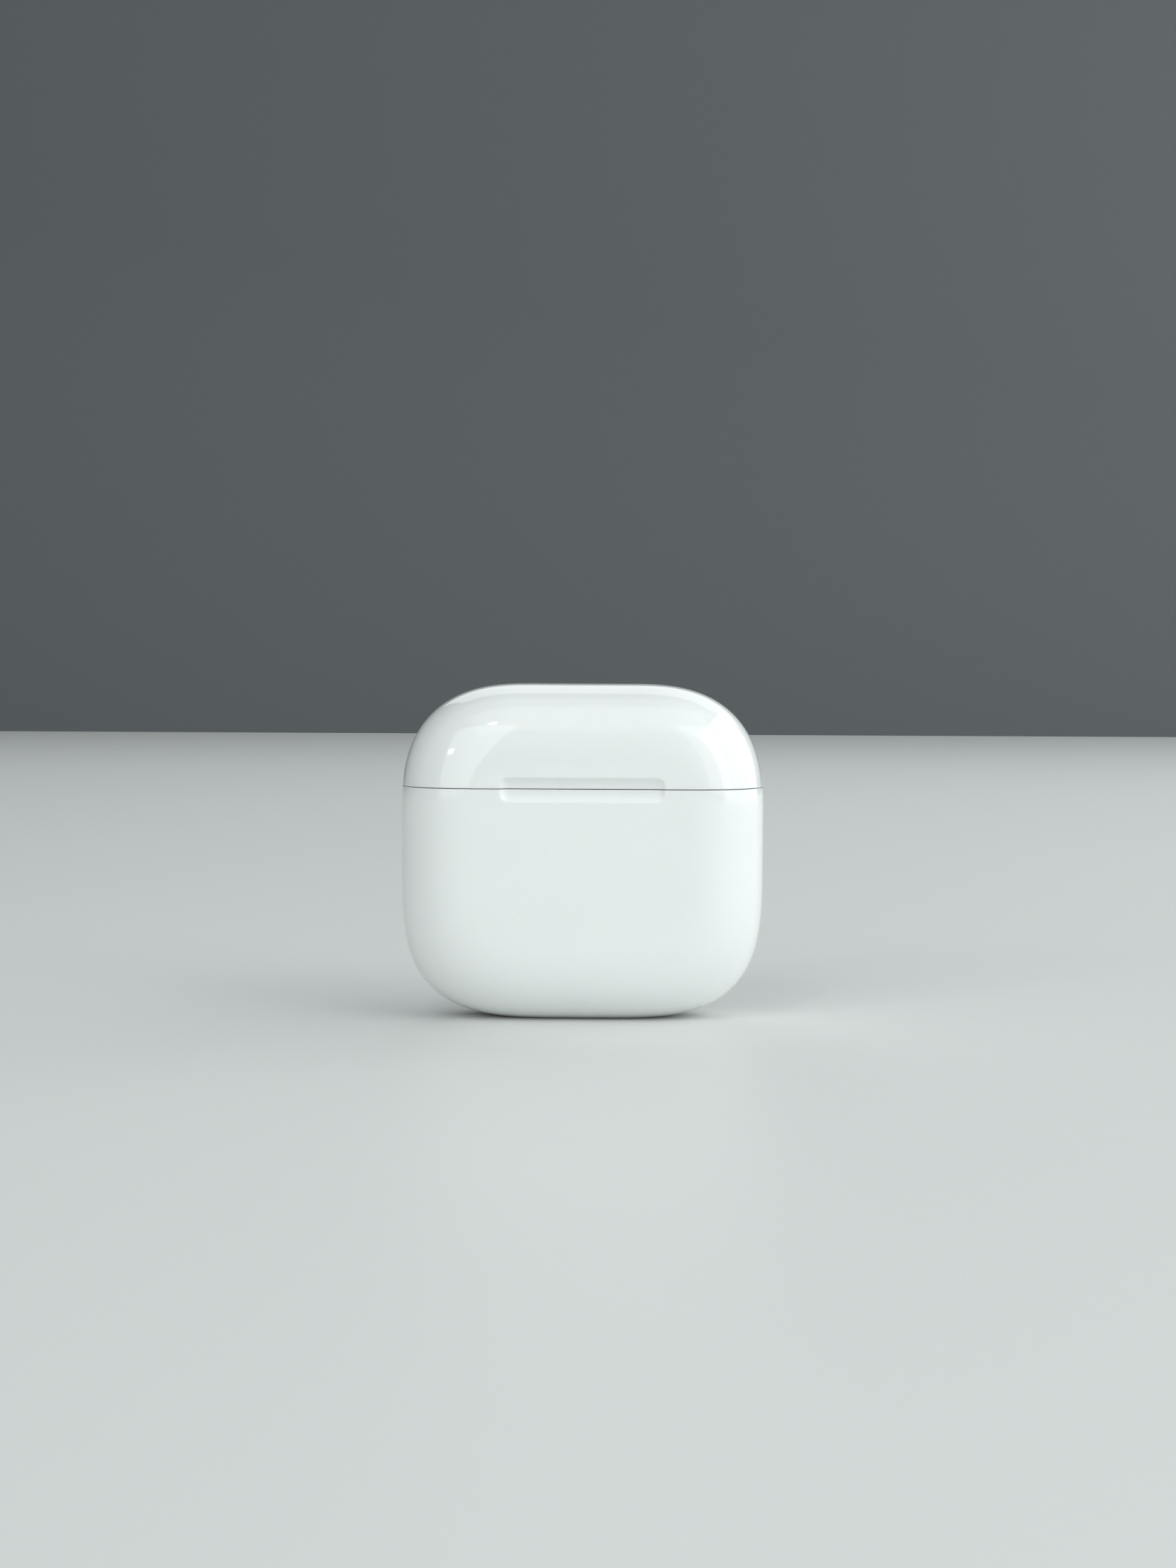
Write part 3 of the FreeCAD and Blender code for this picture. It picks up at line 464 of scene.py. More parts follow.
def hinge_cutter(sizes, notch):
    """The hinge's window: a rounded rectangle carried in from behind the case."""
    axis_level = sizes.seam_height + sizes.seam_gap / 2
    ring = rounded_ring(notch.window_half, notch.window_reach, notch.window_corner, 10)

    def place(points, y):
        return np.stack([points[:, 0], np.full(len(points), y), points[:, 1] + axis_level], axis=-1)

    return prism("hinge_window", ring, place, notch.window_front, sizes.depth)


def upright_cutter(name, ring, low, high):
    """A ring of points carried straight up from one level to another."""

    def place(points, level):
        return np.stack([points[:, 0], points[:, 1], np.full(len(points), level)], axis=-1)

    return prism(name, ring, place, low, high)


def port_cutter(notch):
    """The port's hole: a stadium carried up through the base."""
    half_depth = notch.port_depth / 2
    ring = rounded_ring(notch.port_width / 2, half_depth, half_depth - 0.001 * MM, 16)
    return upright_cutter("port_hole", ring, -1 * MM, 3 * MM)


def barrel_cutter(pin, lining):
    """The hole for one contact's barrel through a well's floor: a circle, centre plus radius times
    (cos, sin), round the pin's own axis. It starts a little off the axes, so that no point of it
    meets a point of the floor."""
    low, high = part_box(pin)
    turns = np.linspace(0, 4 * QUARTER, 37, endpoint=False) + 0.031
    ring = lining.barrel_hole * np.stack([np.cos(turns), np.sin(turns)], axis=-1)
    centre = np.array(((low + high) / 2)[:2])
    floor = lining.stem_floor
    return upright_cutter("barrel_hole", ring + centre, floor - 2 * lining.well_wall, floor + 0.3 * MM)


def smooth(mesh):
    """Smooth shading, with edges of more than 32 degrees left crisp."""
    mesh.polygons.foreach_set("use_smooth", [True] * len(mesh.polygons))
    mesh.set_sharp_from_angle(angle=math.radians(32))


def carve(piece, cutters):
    """Takes the cutters away from a piece and leaves it a plain mesh."""
    scene = bpy.context.scene
    helpers = []
    for mesh in cutters:
        helper = bpy.data.objects.new(mesh.name, mesh)
        scene.collection.objects.link(helper)
        helpers.append(helper)
        cut = piece.modifiers.new(mesh.name, "BOOLEAN")
        cut.operation = "DIFFERENCE"
        cut.solver = "EXACT"
        cut.object = helper
    bpy.context.view_layer.update()
    graph = bpy.context.evaluated_depsgraph_get()
    carved = bpy.data.meshes.new_from_object(piece.evaluated_get(graph))
    if not carved.polygons:
        raise RuntimeError(f"nothing is left of {piece.name} after its cuts")
    piece.modifiers.clear()
    piece.data = carved
    for helper in helpers:
        bpy.data.objects.remove(helper)


def section_line(sizes, grow, level, steps):
    """The form's outline at one level, for the right half, from the front to the back: the roll's
    depth against the side's reach, less what the crown's corner takes off at that level."""
    y, shift = roll_of(sizes, grow, steps)
    over = max(level - (sizes.height - sizes.crown_height), 0.0)
    crown_x = sizes.width / 2 - sizes.crown_width
    x = crown_x + superellipse_edge(
        over, sizes.crown_width + shift, sizes.crown_height + shift, sizes.crown_power
    )
    return x, y


def straight(start, end, count):
    """Points evenly spaced from start to end, both included."""
    return np.linspace(start, end, count)


def lining_edge(sizes, lining, grow, level, pocket):
    """The edge of a lining at one level, for the right half, as a loop: along the front, round the
    side, along the back to the hinge's pocket, along the pocket, and back down the middle. Returned
    with the place in it where the middle starts and the place where the pocket starts."""
    x, y = section_line(sizes, grow, level, SIDE_STEPS)
    half = lining.pocket_half
    front = straight((0, y[0]), (x[0], y[0]), FRONT_POINTS)[:-1]
    side = np.stack([x, y], axis=-1)
    back = straight((x[-1], y[-1]), (half, y[-1]), BACK_POINTS)[1:]
    step = straight((half, y[-1]), (half, pocket), STEP_POINTS)[1:]
    along = straight((half, pocket), (0, pocket), POCKET_POINTS)[1:]
    middle = straight((0, pocket), (0, y[0]), MIDDLE_POINTS)[1:]
    loop = np.vstack([front, side, back, step, along, middle])
    middle_start = len(loop) - len(middle) - 1
    pocket_start = len(front) + len(side) + len(back)
    return loop, middle_start, pocket_start


def smooth_sections(sections, count):
    """Sections blended smoothly by depth. Between two sections, with t from 0 to 1 over the span,
    each size is (2t^3 - 3t^2 + 1) first + (t^3 - 2t^2 + t) span slope + (3t^2 - 2t^3) second +
    (t^3 - t^2) span next slope, with slopes taken from the neighbouring sections."""
    table = np.array(sections) * MM
    depth, values = table[:, 0], table[:, 1:]
    slope = np.gradient(values, depth, axis=0)
    slope[0] = (values[1] - values[0]) / (depth[1] - depth[0])
    at = np.linspace(depth[0], depth[-1], count)
    i = np.clip(np.searchsorted(depth, at, side="right") - 1, 0, len(depth) - 2)
    span = (depth[i + 1] - depth[i])[:, None]
    t = ((at - depth[i]) / (depth[i + 1] - depth[i]))[:, None]
    blended = (
        (2 * t**3 - 3 * t**2 + 1) * values[i]
        + (t**3 - 2 * t**2 + t) * span * slope[i]
        + (3 * t**2 - 2 * t**3) * values[i + 1]
        + (t**3 - t**2) * span * slope[i + 1]
    )
    return at, blended


def well_profile(lining, base, rim):
    """A well from its mouth down, or a hollow from its mouth up: the depths, and the centre, half
    width and half depth at each. Below a well's sections its stem bore goes straight down, and the
    bore's corner is a quarter round, corner (1 - cos) narrower and corner sin deeper."""
    depth, values = smooth_sections(WELL_SECTIONS if base else DOME_SECTIONS, WELL_ROWS)
    if not base:
        return depth, values
    bore = values[-1]
    corner = lining.floor_round
    straight_end = rim - lining.stem_floor - corner
    low = np.linspace(depth[-1], straight_end, BORE_ROWS)[1:]
    angle = np.linspace(0, QUARTER, ROUND_STEPS + 1)[1:]
    less = corner * (1 - np.cos(angle))
    straight_part = np.repeat(bore[None, :], len(low), axis=0)
    round_part = bore - np.stack([np.zeros_like(less), less, less], axis=-1)
    return (
        np.concatenate([depth, low, straight_end + corner * np.sin(angle)]),
        np.vstack([values, straight_part, round_part]),
    )


class WellRows:
    """Rows of points round one well, with one point in each row for every point of the edge. A row's
    drop is measured from the lining's rim, down for the frame and up for the liner."""

    def __init__(self, edge, mouth, rim, way):
        centre, wide, deep = mouth
        turn = np.arctan2(edge[:, 1] / deep, (edge[:, 0] - centre) / wide)
        self.cos = np.cos(turn)
        self.sin = np.sin(turn)
        self.rim = rim
        self.way = way
        self.rows = []

    def flat(self, points, drop):
        """A row over the given places, at one drop or at one for each point."""
        level = np.broadcast_to(self.rim + self.way * drop, len(points))
        self.rows.append(np.column_stack([points, level]))

    def ring(self, drop, centre, wide, deep):
        """An elliptic row: centre plus (wide cos, deep sin)."""
        self.flat(np.stack([centre + wide * self.cos, deep * self.sin], axis=-1), drop)

    def outline(self):
        """The last row, seen from above."""
        return self.rows[-1][:, :2]


def well_wall(rows, depth, values, mouth_round):
    """From the middle of the well's floor out and up its wall, then over the mouth's quarter round,
    radius (1 - cos) wider and radius sin higher."""
    centre, wide, deep = values[-1]
    for share in (0.0, 0.33, 0.66):
        rows.ring(depth[-1], centre, wide * share, deep * share)
    for row in np.flatnonzero(depth > mouth_round)[::-1]:
        rows.ring(depth[row], *values[row])
    centre, wide, deep = values[0]
    for angle in np.linspace(0, QUARTER, 6):
        out = mouth_round * (1 - math.cos(angle))
        rows.ring(mouth_round - mouth_round * math.sin(angle), centre, wide + out, deep + out)


def deck(rows, edge, edge_round):
    """From the mouth straight out over the deck, then over the edge's quarter round."""
    inner_edge = rows.outline()
    towards = edge - inner_edge
    towards /= np.linalg.norm(towards, axis=1)[:, None]
    deck_edge = edge - towards * edge_round
    for share in (0.08, 0.25, 0.5, 0.75, 1.0):
        rows.flat(inner_edge + (deck_edge - inner_edge) * share, 0.0)
    for angle in np.linspace(0, QUARTER, 4)[1:]:
        out = towards * edge_round * math.sin(angle)
        rows.flat(deck_edge + out, edge_round[:, 0] * (1 - math.cos(angle)))


def underside(rows, depth, values, plate, wall):
    """Back under the deck to the well, then round the outside of its wall to the middle of its foot."""
    total = depth[-1] + wall
    inner_ring = rows.outline()
    centre, wide, deep = values[0]
    outer_ring = np.stack([centre + (wide + wall) * rows.cos, (deep + wall) * rows.sin], axis=-1)
    for share in (0.5, 1.0):
        rows.flat(inner_ring + (outer_ring - inner_ring) * share, plate)
    for row in range(2, len(depth), 2):
        centre, wide, deep = values[row]
        rows.ring(plate + (total - plate) * depth[row] / depth[-1], centre, wide + wall, deep + wall)
    centre, wide, deep = values[-1]
    for share in (1.0, 0.5, 0.0):
        rows.ring(total, centre, (wide + wall) * share, (deep + wall) * share)


def lining_half(sheet, sizes, lining, notch, base, side):
    """One half of a lining as a closed surface, by direction round the well and by row: up the well's
    wall, over the deck, down the skirt, up its inside, and under the deck to the well's outside. The
    two halves meet along the middle, where no faces are made."""
    if base:
        rim = sizes.seam_height - lining.deck_drop
        way = -1.0
    else:
        rim = sizes.seam_height + sizes.seam_gap + lining.liner_recess
        way = 1.0
    pocket = notch.window_front
    grow = -sizes.wall - lining.glue_gap
    plate, skirt_depth = lining.plate, lining.skirt_depth
    edge, middle_start, pocket_start = lining_edge(sizes, lining, grow, rim, pocket)
    column = np.arange(len(edge))
    on_outer = column < pocket_start
    edge_round = np.where(column > middle_start, 0.0, lining.edge_round)[:, None]
    depth, values = well_profile(lining, base, rim)
    rows = WellRows(edge, values[0], rim, way)
    well_wall(rows, depth, values, lining.mouth_round)
    deck(rows, edge, edge_round)
    first_side = len(rows.rows) - 1
    skirt = np.where(on_outer, skirt_depth, plate)
    for share in (0.3, 0.65, 1.0):
        at_level = lining_edge(sizes, lining, grow, rim + way * share * skirt_depth, pocket)[0]
        rows.flat(np.where(on_outer[:, None], at_level, edge), share * skirt)
    for share in (1.0, 0.5, 0.0):
        level = rim + way * (plate + share * (skirt_depth - plate))
        inside = lining_edge(sizes, lining, grow - lining.skirt, level, pocket)[0]
        rows.flat(np.where(on_outer[:, None], inside, edge), plate + share * (skirt - plate))
    last_side = len(rows.rows) - 1
    underside(rows, depth, values, plate, lining.well_wall)
    points = np.stack(rows.rows)
    points[:, :, 0] *= side
    numbers = sheet.add(points)
    closed = np.hstack([numbers, numbers[:, :1]])
    keep = np.ones((len(closed) - 1, len(edge)), bool)
    keep[first_side:last_side, middle_start:] = False
    sheet.grid(closed, keep)


# ---------------------------------------------------------------- finishes
class Wire:
    """A shader socket that the usual operators act on: each adds one Math node."""

    def __init__(self, finish, socket):
        self.finish = finish
        self.socket = socket

    def math(self, operation, first, second):
        """One Math node on two values or wires."""
        return self.finish.wire("ShaderNodeMath", {"operation": operation}, {0: first, 1: second})

    def __add__(self, other):
        return self.math("ADD", self, other)

    def __radd__(self, other):
        return self.math("ADD", other, self)

    def __sub__(self, other):
        return self.math("SUBTRACT", self, other)

    def __rsub__(self, other):
        return self.math("SUBTRACT", other, self)

    def __mul__(self, other):
        return self.math("MULTIPLY", self, other)

    def __rmul__(self, other):
        return self.math("MULTIPLY", other, self)


class Finish:
    """A material under construction, with one Principled shader."""

    def __init__(self, name, **constants):
        self.material = bpy.data.materials.new(name)
        self.material.use_nodes = True
        self.tree = self.material.node_tree
        self.tree.nodes.clear()
        self.shader = self.node("ShaderNodeBsdfPrincipled")
        self.node("ShaderNodeOutputMaterial", {}, {"Surface": Wire(self, self.shader.outputs[0])})
        self.place = self.wire("ShaderNodeTexCoord", output="Object")
        self.set(**constants)

    def node(self, kind, settings=None, inputs=None):
        """Adds a node: its settings first, then the values or wires of its sockets."""
        node = self.tree.nodes.new(kind)
        for key, value in (settings or {}).items():
            setattr(node, key, value)
        for key, value in (inputs or {}).items():
            self.join(node.inputs[key], value)
        return node

    def wire(self, kind, settings=None, inputs=None, output=0):
        """Adds a node and returns one of its outputs."""
        return Wire(self, self.node(kind, settings, inputs).outputs[output])

    def join(self, socket, value):
        """Links a wire to a socket, or sets the socket's value."""
        if isinstance(value, Wire):
            self.tree.links.new(value.socket, socket)
        elif isinstance(value, tuple) and len(value) + 1 == len(socket.default_value):
            socket.default_value = (*value, 1.0)
        else:
            socket.default_value = value

    def set(self, **values):
        """Sets or links sockets of the shader, with underscores for spaces."""
        for key, value in values.items():
            self.join(self.shader.inputs[key.replace("_", " ").title().replace("Ior", "IOR")], value)

    def mapped(self, scale, turn=(0, 0, 0), shift=(0, 0, 0)):
        """The object's own coordinates, turned and stretched."""
        inputs = {"Vector": self.place, "Scale": scale, "Rotation": turn, "Location": shift}
        return self.wire("ShaderNodeMapping", {}, inputs)

    def noise(self, scale, detail=2.0, roughness=0.5, vector=None, distortion=0.0):
        """Soft noise, from 0 to 1, with scale in cycles per metre."""
        inputs = {"Vector": vector or self.place, "Scale": scale, "Detail": detail}
        inputs.update({"Roughness": roughness, "Distortion": distortion})
        return self.wire("ShaderNodeTexNoise", {}, inputs)

    def mix(self, factor, first, second):
        """Two colours mixed."""
        return self.wire("ShaderNodeMix", {"data_type": "RGBA"}, {0: factor, 6: first, 7: second}, 2)

    def step(self, value, low, high):
        """A smooth step from 0 to 1 as value goes from low to high."""
        inputs = {"Value": value, "From Min": low, "From Max": high}
        return self.wire("ShaderNodeMapRange", {"interpolation_type": "SMOOTHSTEP"}, inputs)

    def bump(self, height, strength, distance):
        """A bump from a height, over a distance in metres."""
        inputs = {"Height": height, "Strength": strength, "Distance": distance}
        return self.wire("ShaderNodeBump", {}, inputs, "Normal")


def shade(tint, factor):
    """A colour made lighter or darker."""
    return tuple(min(1.0, part * factor) for part in tint)


def hairlines(finish, angle, scale=700.0):
    """Very fine wandering scratches in one direction, as a mask."""
    along = finish.mapped((1.0, 1.0, 14.0), (0.0, angle, 0.35 * angle))
    lines = finish.noise(scale, 1.0, 0.4, along, 0.4)
    patches = finish.noise(160.0, 1.0, 0.5)
    return finish.step(lines, 0.64, 0.70) * finish.step(patches, 0.45, 0.62)


def polished_plastic(name, tint, roughness, wear):
    """Polished white moulding: an even tint with the faintest cloudiness, a hard glossy skin, sparse
    hairline scratches, a few specks of dust, and the slight waviness of a moulded face."""
    finish = Finish(
        name,
        ior=1.5,
        coat_weight=0.35,
        coat_roughness=0.03,
        coat_ior=1.5,
        subsurface_weight=0.3,
        subsurface_radius=(1.0, 0.9, 0.8),
        subsurface_scale=0.0009,
    )
    cloud = finish.noise(90.0, 2.0, 0.5)
    specks = finish.wire("ShaderNodeTexVoronoi", {}, {"Vector": finish.place, "Scale": 330.0}, "Distance")
    rare = finish.noise(60.0, 0.0, 0.5, finish.mapped((1, 1, 1), shift=(0.31, 0.12, 0.57)))
    dust = finish.step(specks, 0.05, 0.025) * finish.step(rare, 0.60, 0.66)
    base = finish.mix(cloud, shade(tint, 0.985), shade(tint, 1.01))
    finish.set(base_color=finish.mix(dust * 0.35, base, shade(tint, 0.62)))
    marks = hairlines(finish, 0.5) + hairlines(finish, 2.1) + hairlines(finish, 1.2, 900.0)
    smear = finish.step(finish.noise(70.0, 3.0, 0.6), 0.42, 0.72)
    finish.set(roughness=roughness + marks * 0.10 * wear + smear * 0.035 * wear + dust * 0.3)
    wave = finish.noise(55.0, 1.0, 0.4)
    peel = finish.noise(1500.0, 1.0, 0.5)
    finish.set(normal=finish.bump(wave + peel * 0.004 - marks * 0.006, 0.12, 0.0004))
    return finish.material


def brushed_metal(name, tint, roughness, direction):
    """Drawn or brushed metal: fine lines along one direction in its tint, gloss and bump, with a
    little cloudiness."""
    finish = Finish(name, metallic=1.0)
    lines = finish.noise(9000.0, 2.0, 0.6, finish.mapped(direction))
    broad = finish.noise(1800.0, 2.0, 0.5, finish.mapped(direction))
    cloud = finish.noise(260.0, 2.0, 0.5)
    finish.set(base_color=finish.mix(lines * 0.6 + cloud * 0.4, shade(tint, 0.82), shade(tint, 1.12)))
    finish.set(roughness=roughness - 0.06 + lines * 0.12 + cloud * 0.08)
    finish.set(normal=finish.bump(lines * 0.6 + broad * 0.4, 0.25, 0.00002))
    return finish.material


def plated_metal(name, tint, roughness):
    """Bright plating: even colour with faint stains and the finest grain."""
    finish = Finish(name, metallic=1.0)
    stain = finish.noise(700.0, 3.0, 0.6)
    grain = finish.noise(12000.0, 1.0, 0.5)
    finish.set(base_color=finish.mix(stain, shade(tint, 0.86), shade(tint, 1.08)))
    finish.set(roughness=roughness + stain * 0.10 + grain * 0.05)
    finish.set(normal=finish.bump(grain, 0.15, 0.00001))
    return finish.material


def matt_moulding(name, tint, roughness, grain_scale=4000.0):
    """Matt moulding, rubber, foam or foil: grain in tint, gloss and bump."""
    finish = Finish(name, ior=1.45)
    grain = finish.noise(grain_scale, 2.0, 0.6)
    cloud = finish.noise(300.0, 2.0, 0.5)
    finish.set(base_color=finish.mix(cloud, shade(tint, 0.8), shade(tint, 1.25)))
    finish.set(roughness=roughness - 0.05 + grain * 0.12)
    finish.set(normal=finish.bump(grain, 0.4, 0.00002))
    return finish.material


def plain_surface(name, tint, roughness):
    """A plain painted surface, with barely a trace of cloudiness."""
    finish = Finish(name)
    cloud = finish.noise(4.0, 1.0, 0.5)
    finish.set(base_color=finish.mix(cloud, shade(tint, 0.985), shade(tint, 1.015)))
    finish.set(roughness=roughness + cloud * 0.02)
    return finish.material


def circuit_laminate(name, tint):
    """Circuit board: lacquered laminate with copper tracks showing faintly through."""
    finish = Finish(name, ior=1.5, coat_weight=0.3, coat_roughness=0.12)
    inputs = {"Vector": finish.place, "Scale": 900.0, "Mortar Size": 0.035, "Mortar Smooth": 0.2}
    tracks = finish.wire("ShaderNodeTexBrick", {"offset": 0.5}, inputs, "Fac")
    weave = finish.noise(2500.0, 2.0, 0.5)
    laminate = finish.mix(weave, shade(tint, 0.8), shade(tint, 1.3))
    finish.set(base_color=finish.mix(tracks * 0.5, laminate, shade(tint, 2.4)))
    finish.set(roughness=0.32 + weave * 0.1)
    finish.set(normal=finish.bump(tracks, 0.3, 0.00003))
    return finish.material


def foil(name, tint):
    """Embossed foil of a battery pouch."""
    finish = Finish(name, metallic=0.9)
    crinkle = finish.noise(500.0, 4.0, 0.65, None, 0.6)
    finish.set(base_color=finish.mix(crinkle, shade(tint, 0.8), shade(tint, 1.1)))
    finish.set(roughness=0.28 + crinkle * 0.18)
    finish.set(normal=finish.bump(crinkle, 0.5, 0.0002))
    return finish.material


def clear_moulding(name, tint):
    """Clear moulding with faint flow lines."""
    finish = Finish(name, transmission_weight=0.9, ior=1.49)
    flow = finish.noise(400.0, 2.0, 0.5, finish.mapped((1, 0.2, 1)))
    finish.set(base_color=finish.mix(flow, shade(tint, 0.96), tint))
    finish.set(roughness=0.05 + flow * 0.06)
    return finish.material


CONTACT_PINS = tuple(sorted(name for name in NODES if name.startswith("contact_pin_")))

NODE_FINISHES = {
    "stainless": ("hinge_body_leaf", "hinge_lid_leaf", "hinge_pin"),
    "spring_wire": ("hinge_spring",),
    "screws": ("body_leaf_screws", "lid_leaf_screws", "bracket_screws", "board_screw"),
    "magnets": ("frame_magnets", "lid_magnets", "bud_magnets", "sensor_magnet"),
    "gold": ("contact_barrels", "port_contacts", *CONTACT_PINS),
    "port_steel": ("port_shell", "port_bracket", "board_shield"),
    "boards": ("contact_board", "port_board", "main_board"),
    "ribbons": ("contact_flex", "port_flex"),
    "black_mouldings": ("port_tongue", "board_chips", "lid_sensor"),
    "seals": ("port_gasket", "battery_foam"),
    "cells": ("battery_cell_left", "battery_cell_right"),
    "nickel_tabs": ("battery_tabs",),
    "lamp": ("status_led", "light_guide"),
    "copper": ("charging_coil",),
    "ferrite": ("ferrite_sheet",),
}


def dress(group, material):
    """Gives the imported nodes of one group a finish."""
    for name in NODE_FINISHES[group]:
        node = NODES[name]
        node.data.materials.clear()
        node.data.materials.append(material)


def add_piece(name, mesh, material, body, slot, *nodes):
    """Adds a new piece at the origin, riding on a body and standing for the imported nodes."""
    old = bpy.data.objects.get(name)
    if old is not None:
        bpy.data.objects.remove(old)
    piece = bpy.data.objects.new(name, mesh)
    bpy.context.scene.collection.objects.link(piece)
    piece.data.materials.clear()
    piece.data.materials.append(material)
    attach(piece, body)
    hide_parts(*nodes)
    return piece


def contact_coil(pin, material):
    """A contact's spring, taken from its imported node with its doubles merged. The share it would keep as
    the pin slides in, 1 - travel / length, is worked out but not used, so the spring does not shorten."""
    node = pin.replace("pin", "spring")
    low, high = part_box(node)
    mesh = clean(NODES[node].data.copy(), LINING_WELD, outwards=False)
    coil = add_piece(pin.replace("pin", "coil"), mesh, material, "case_body", "spring_steel", node)
    slide = next(joint for joint in frame["joints"] if joint["name"] == pin + "_slide")
    1 - slide["range_m"][1] / (high.z - low.z)
    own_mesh(coil)


# ---------------------------------------------------------------- operators
class CASE_OT_body(Operator):
    """Build the lower shell, with its port hole, the hinge's window and the dip in its back rim."""

    bl_idname = "case.body_shell"
    bl_label = "Body shell"

    def execute(self, context):
        sizes, notch = context.scene.case_shell, context.scene.case_notch
        tint = tuple(context.scene.case_colours.shell)
        material = polished_plastic("polished_shell", tint, 0.05, 1.0)
        mesh = half_shell("body_shell_skin", sizes, notch, True)
        piece = add_piece("body_shell_skin", mesh, material, "case_body", "shell_gloss", "body_shell")
        carve(piece, [hinge_cutter(sizes, notch), port_cutter(notch)])
        smooth(piece.data)
        return {"FINISHED"}


class CASE_OT_lid(Operator):
    """Build the upper shell, with the hinge's window."""

    bl_idname = "case.lid_shell"
    bl_label = "Lid shell"

    def execute(self, context):
        sizes, notch = context.scene.case_shell, context.scene.case_notch
        tint = tuple(context.scene.case_colours.shell)
        material = polished_plastic("polished_lid", tint, 0.05, 1.0)
        mesh = half_shell("lid_shell_skin", sizes, notch, False)
        piece = add_piece("lid_shell_skin", mesh, material, "lid", "shell_gloss", "lid_shell")
        carve(piece, [hinge_cutter(sizes, notch)])
        smooth(piece.data)
        return {"FINISHED"}


class CASE_OT_linings(Operator):
    """Build the inner frame with its two wells, and the lid's liner with its two hollows."""

    bl_idname = "case.linings"
    bl_label = "Inner frame and lid liner"

    def execute(self, context):
        scene = context.scene
        sizes, notch, lining = scene.case_shell, scene.case_notch, scene.case_lining
        material = polished_plastic("polished_lining", tuple(scene.case_colours.lining), 0.16, 0.6)
        for name, base, body, node in (
            ("inner_frame_moulding", True, "case_body", "inner_frame"),
            ("lid_liner_moulding", False, "lid", "lid_liner"),
        ):
            sheet = Sheet()
            lining_half(sheet, sizes, lining, notch, base, 1.0)
            lining_half(sheet, sizes, lining, notch, base, -1.0)
            piece = add_piece(name, sheet.mesh(name, LINING_WELD), material, body, "frame_gloss", node)
            if base:
                carve(piece, [barrel_cutter(pin, lining) for pin in CONTACT_PINS])
            smooth(piece.data)
        return {"FINISHED"}


class CASE_OT_hinge(Operator):
    """Finish the hinge's leaves, pin, spring and screws."""

    bl_idname = "case.hinge_finish"
    bl_label = "Hinge finish"

    def execute(self, context):
        steel = tuple(context.scene.case_colours.steel)
        dress("stainless", brushed_metal("satin_stainless", steel, 0.27, (0.04, 1.0, 1.0)))
        dress("spring_wire", plated_metal("spring_wire", shade(steel, 0.95), 0.18))
        dress("screws", brushed_metal("screw_steel", shade(steel, 0.75), 0.35, (1.0, 1.0, 1.0)))
        return {"FINISHED"}


class CASE_OT_contacts(Operator):
    """Finish the charging contacts, and give each one its spring."""

    bl_idname = "case.contacts"
    bl_label = "Contacts"

    def execute(self, context):
        colours = context.scene.case_colours
        dress("gold", plated_metal("gold_plating", tuple(colours.gold), 0.14))
        wire = plated_metal("contact_wire", tuple(colours.steel), 0.18)
        for pin in CONTACT_PINS:
            contact_coil(pin, wire)
        return {"FINISHED"}


class CASE_OT_port(Operator):
    """Finish the charging port."""

    bl_idname = "case.port_finish"
    bl_label = "Port finish"

    def execute(self, context):
        steel = tuple(context.scene.case_colours.steel)
        dress("port_steel", brushed_metal("drawn_steel", steel, 0.24, (1.0, 1.0, 0.06)))
        dress("black_mouldings", matt_moulding("black_moulding", (0.018, 0.018, 0.02), 0.42))
        dress("seals", matt_moulding("soft_black_seal", (0.03, 0.03, 0.032), 0.75, 2500.0))
        return {"FINISHED"}


class CASE_OT_insides(Operator):
    """Finish the boards, cells, magnets, lamp and charging coil."""

    bl_idname = "case.inside_finish"
    bl_label = "Inside finishes"

    def execute(self, context):
        steel = tuple(context.scene.case_colours.steel)
        dress("magnets", plated_metal("nickel_plating", shade(steel, 1.05), 0.2))
        dress("boards", circuit_laminate("circuit_laminate", (0.02, 0.07, 0.045)))
        dress("ribbons", matt_moulding("amber_film", (0.42, 0.2, 0.05), 0.35, 1500.0))
        dress("cells", foil("pouch_foil", (0.6, 0.61, 0.63)))
        dress("nickel_tabs", plated_metal("nickel_strip", shade(steel, 0.95), 0.25))
        dress("lamp", clear_moulding("clear_moulding", (0.94, 0.95, 0.95)))
        dress("copper", plated_metal("enamelled_copper", (0.62, 0.27, 0.13), 0.22))
        dress("ferrite", matt_moulding("ferrite", (0.05, 0.05, 0.055), 0.55, 1800.0))
        return {"FINISHED"}


# Name, width and height in metres, radiance, azimuth and elevation in degrees, distance in metres.
LIGHTS = (
    ("right_window", (1.9, 1.0), 1.66, (88, 25), 1.0),
    ("right_front", (1.2, 1.8), 0.92, (42, 25), 2.0),
    ("left_panel", (1.44, 1.8), 1.27, (-30, 23), 2.0),
    ("overhead", (1.2, 0.8), 0.6, (12, 60), 1.0),
    ("back_fill", (1.0, 0.6), 1.0, (172, 42), 0.9),
    ("upper_lamp", (0.065, 0.055), 32.0, (-20.3, 49.5), 1.0),
    ("lower_lamp", (0.1, 0.055), 24.0, (-45.3, 23.3), 1.0),
)
LIGHT_TINT = (0.95, 1.0, 0.995)
LIT_POINT = (0.0, 0.0, 0.03)
AIR_STRENGTH = 0.3
STAGE_REACH = 8.0
WALL_HEIGHT = 4.0


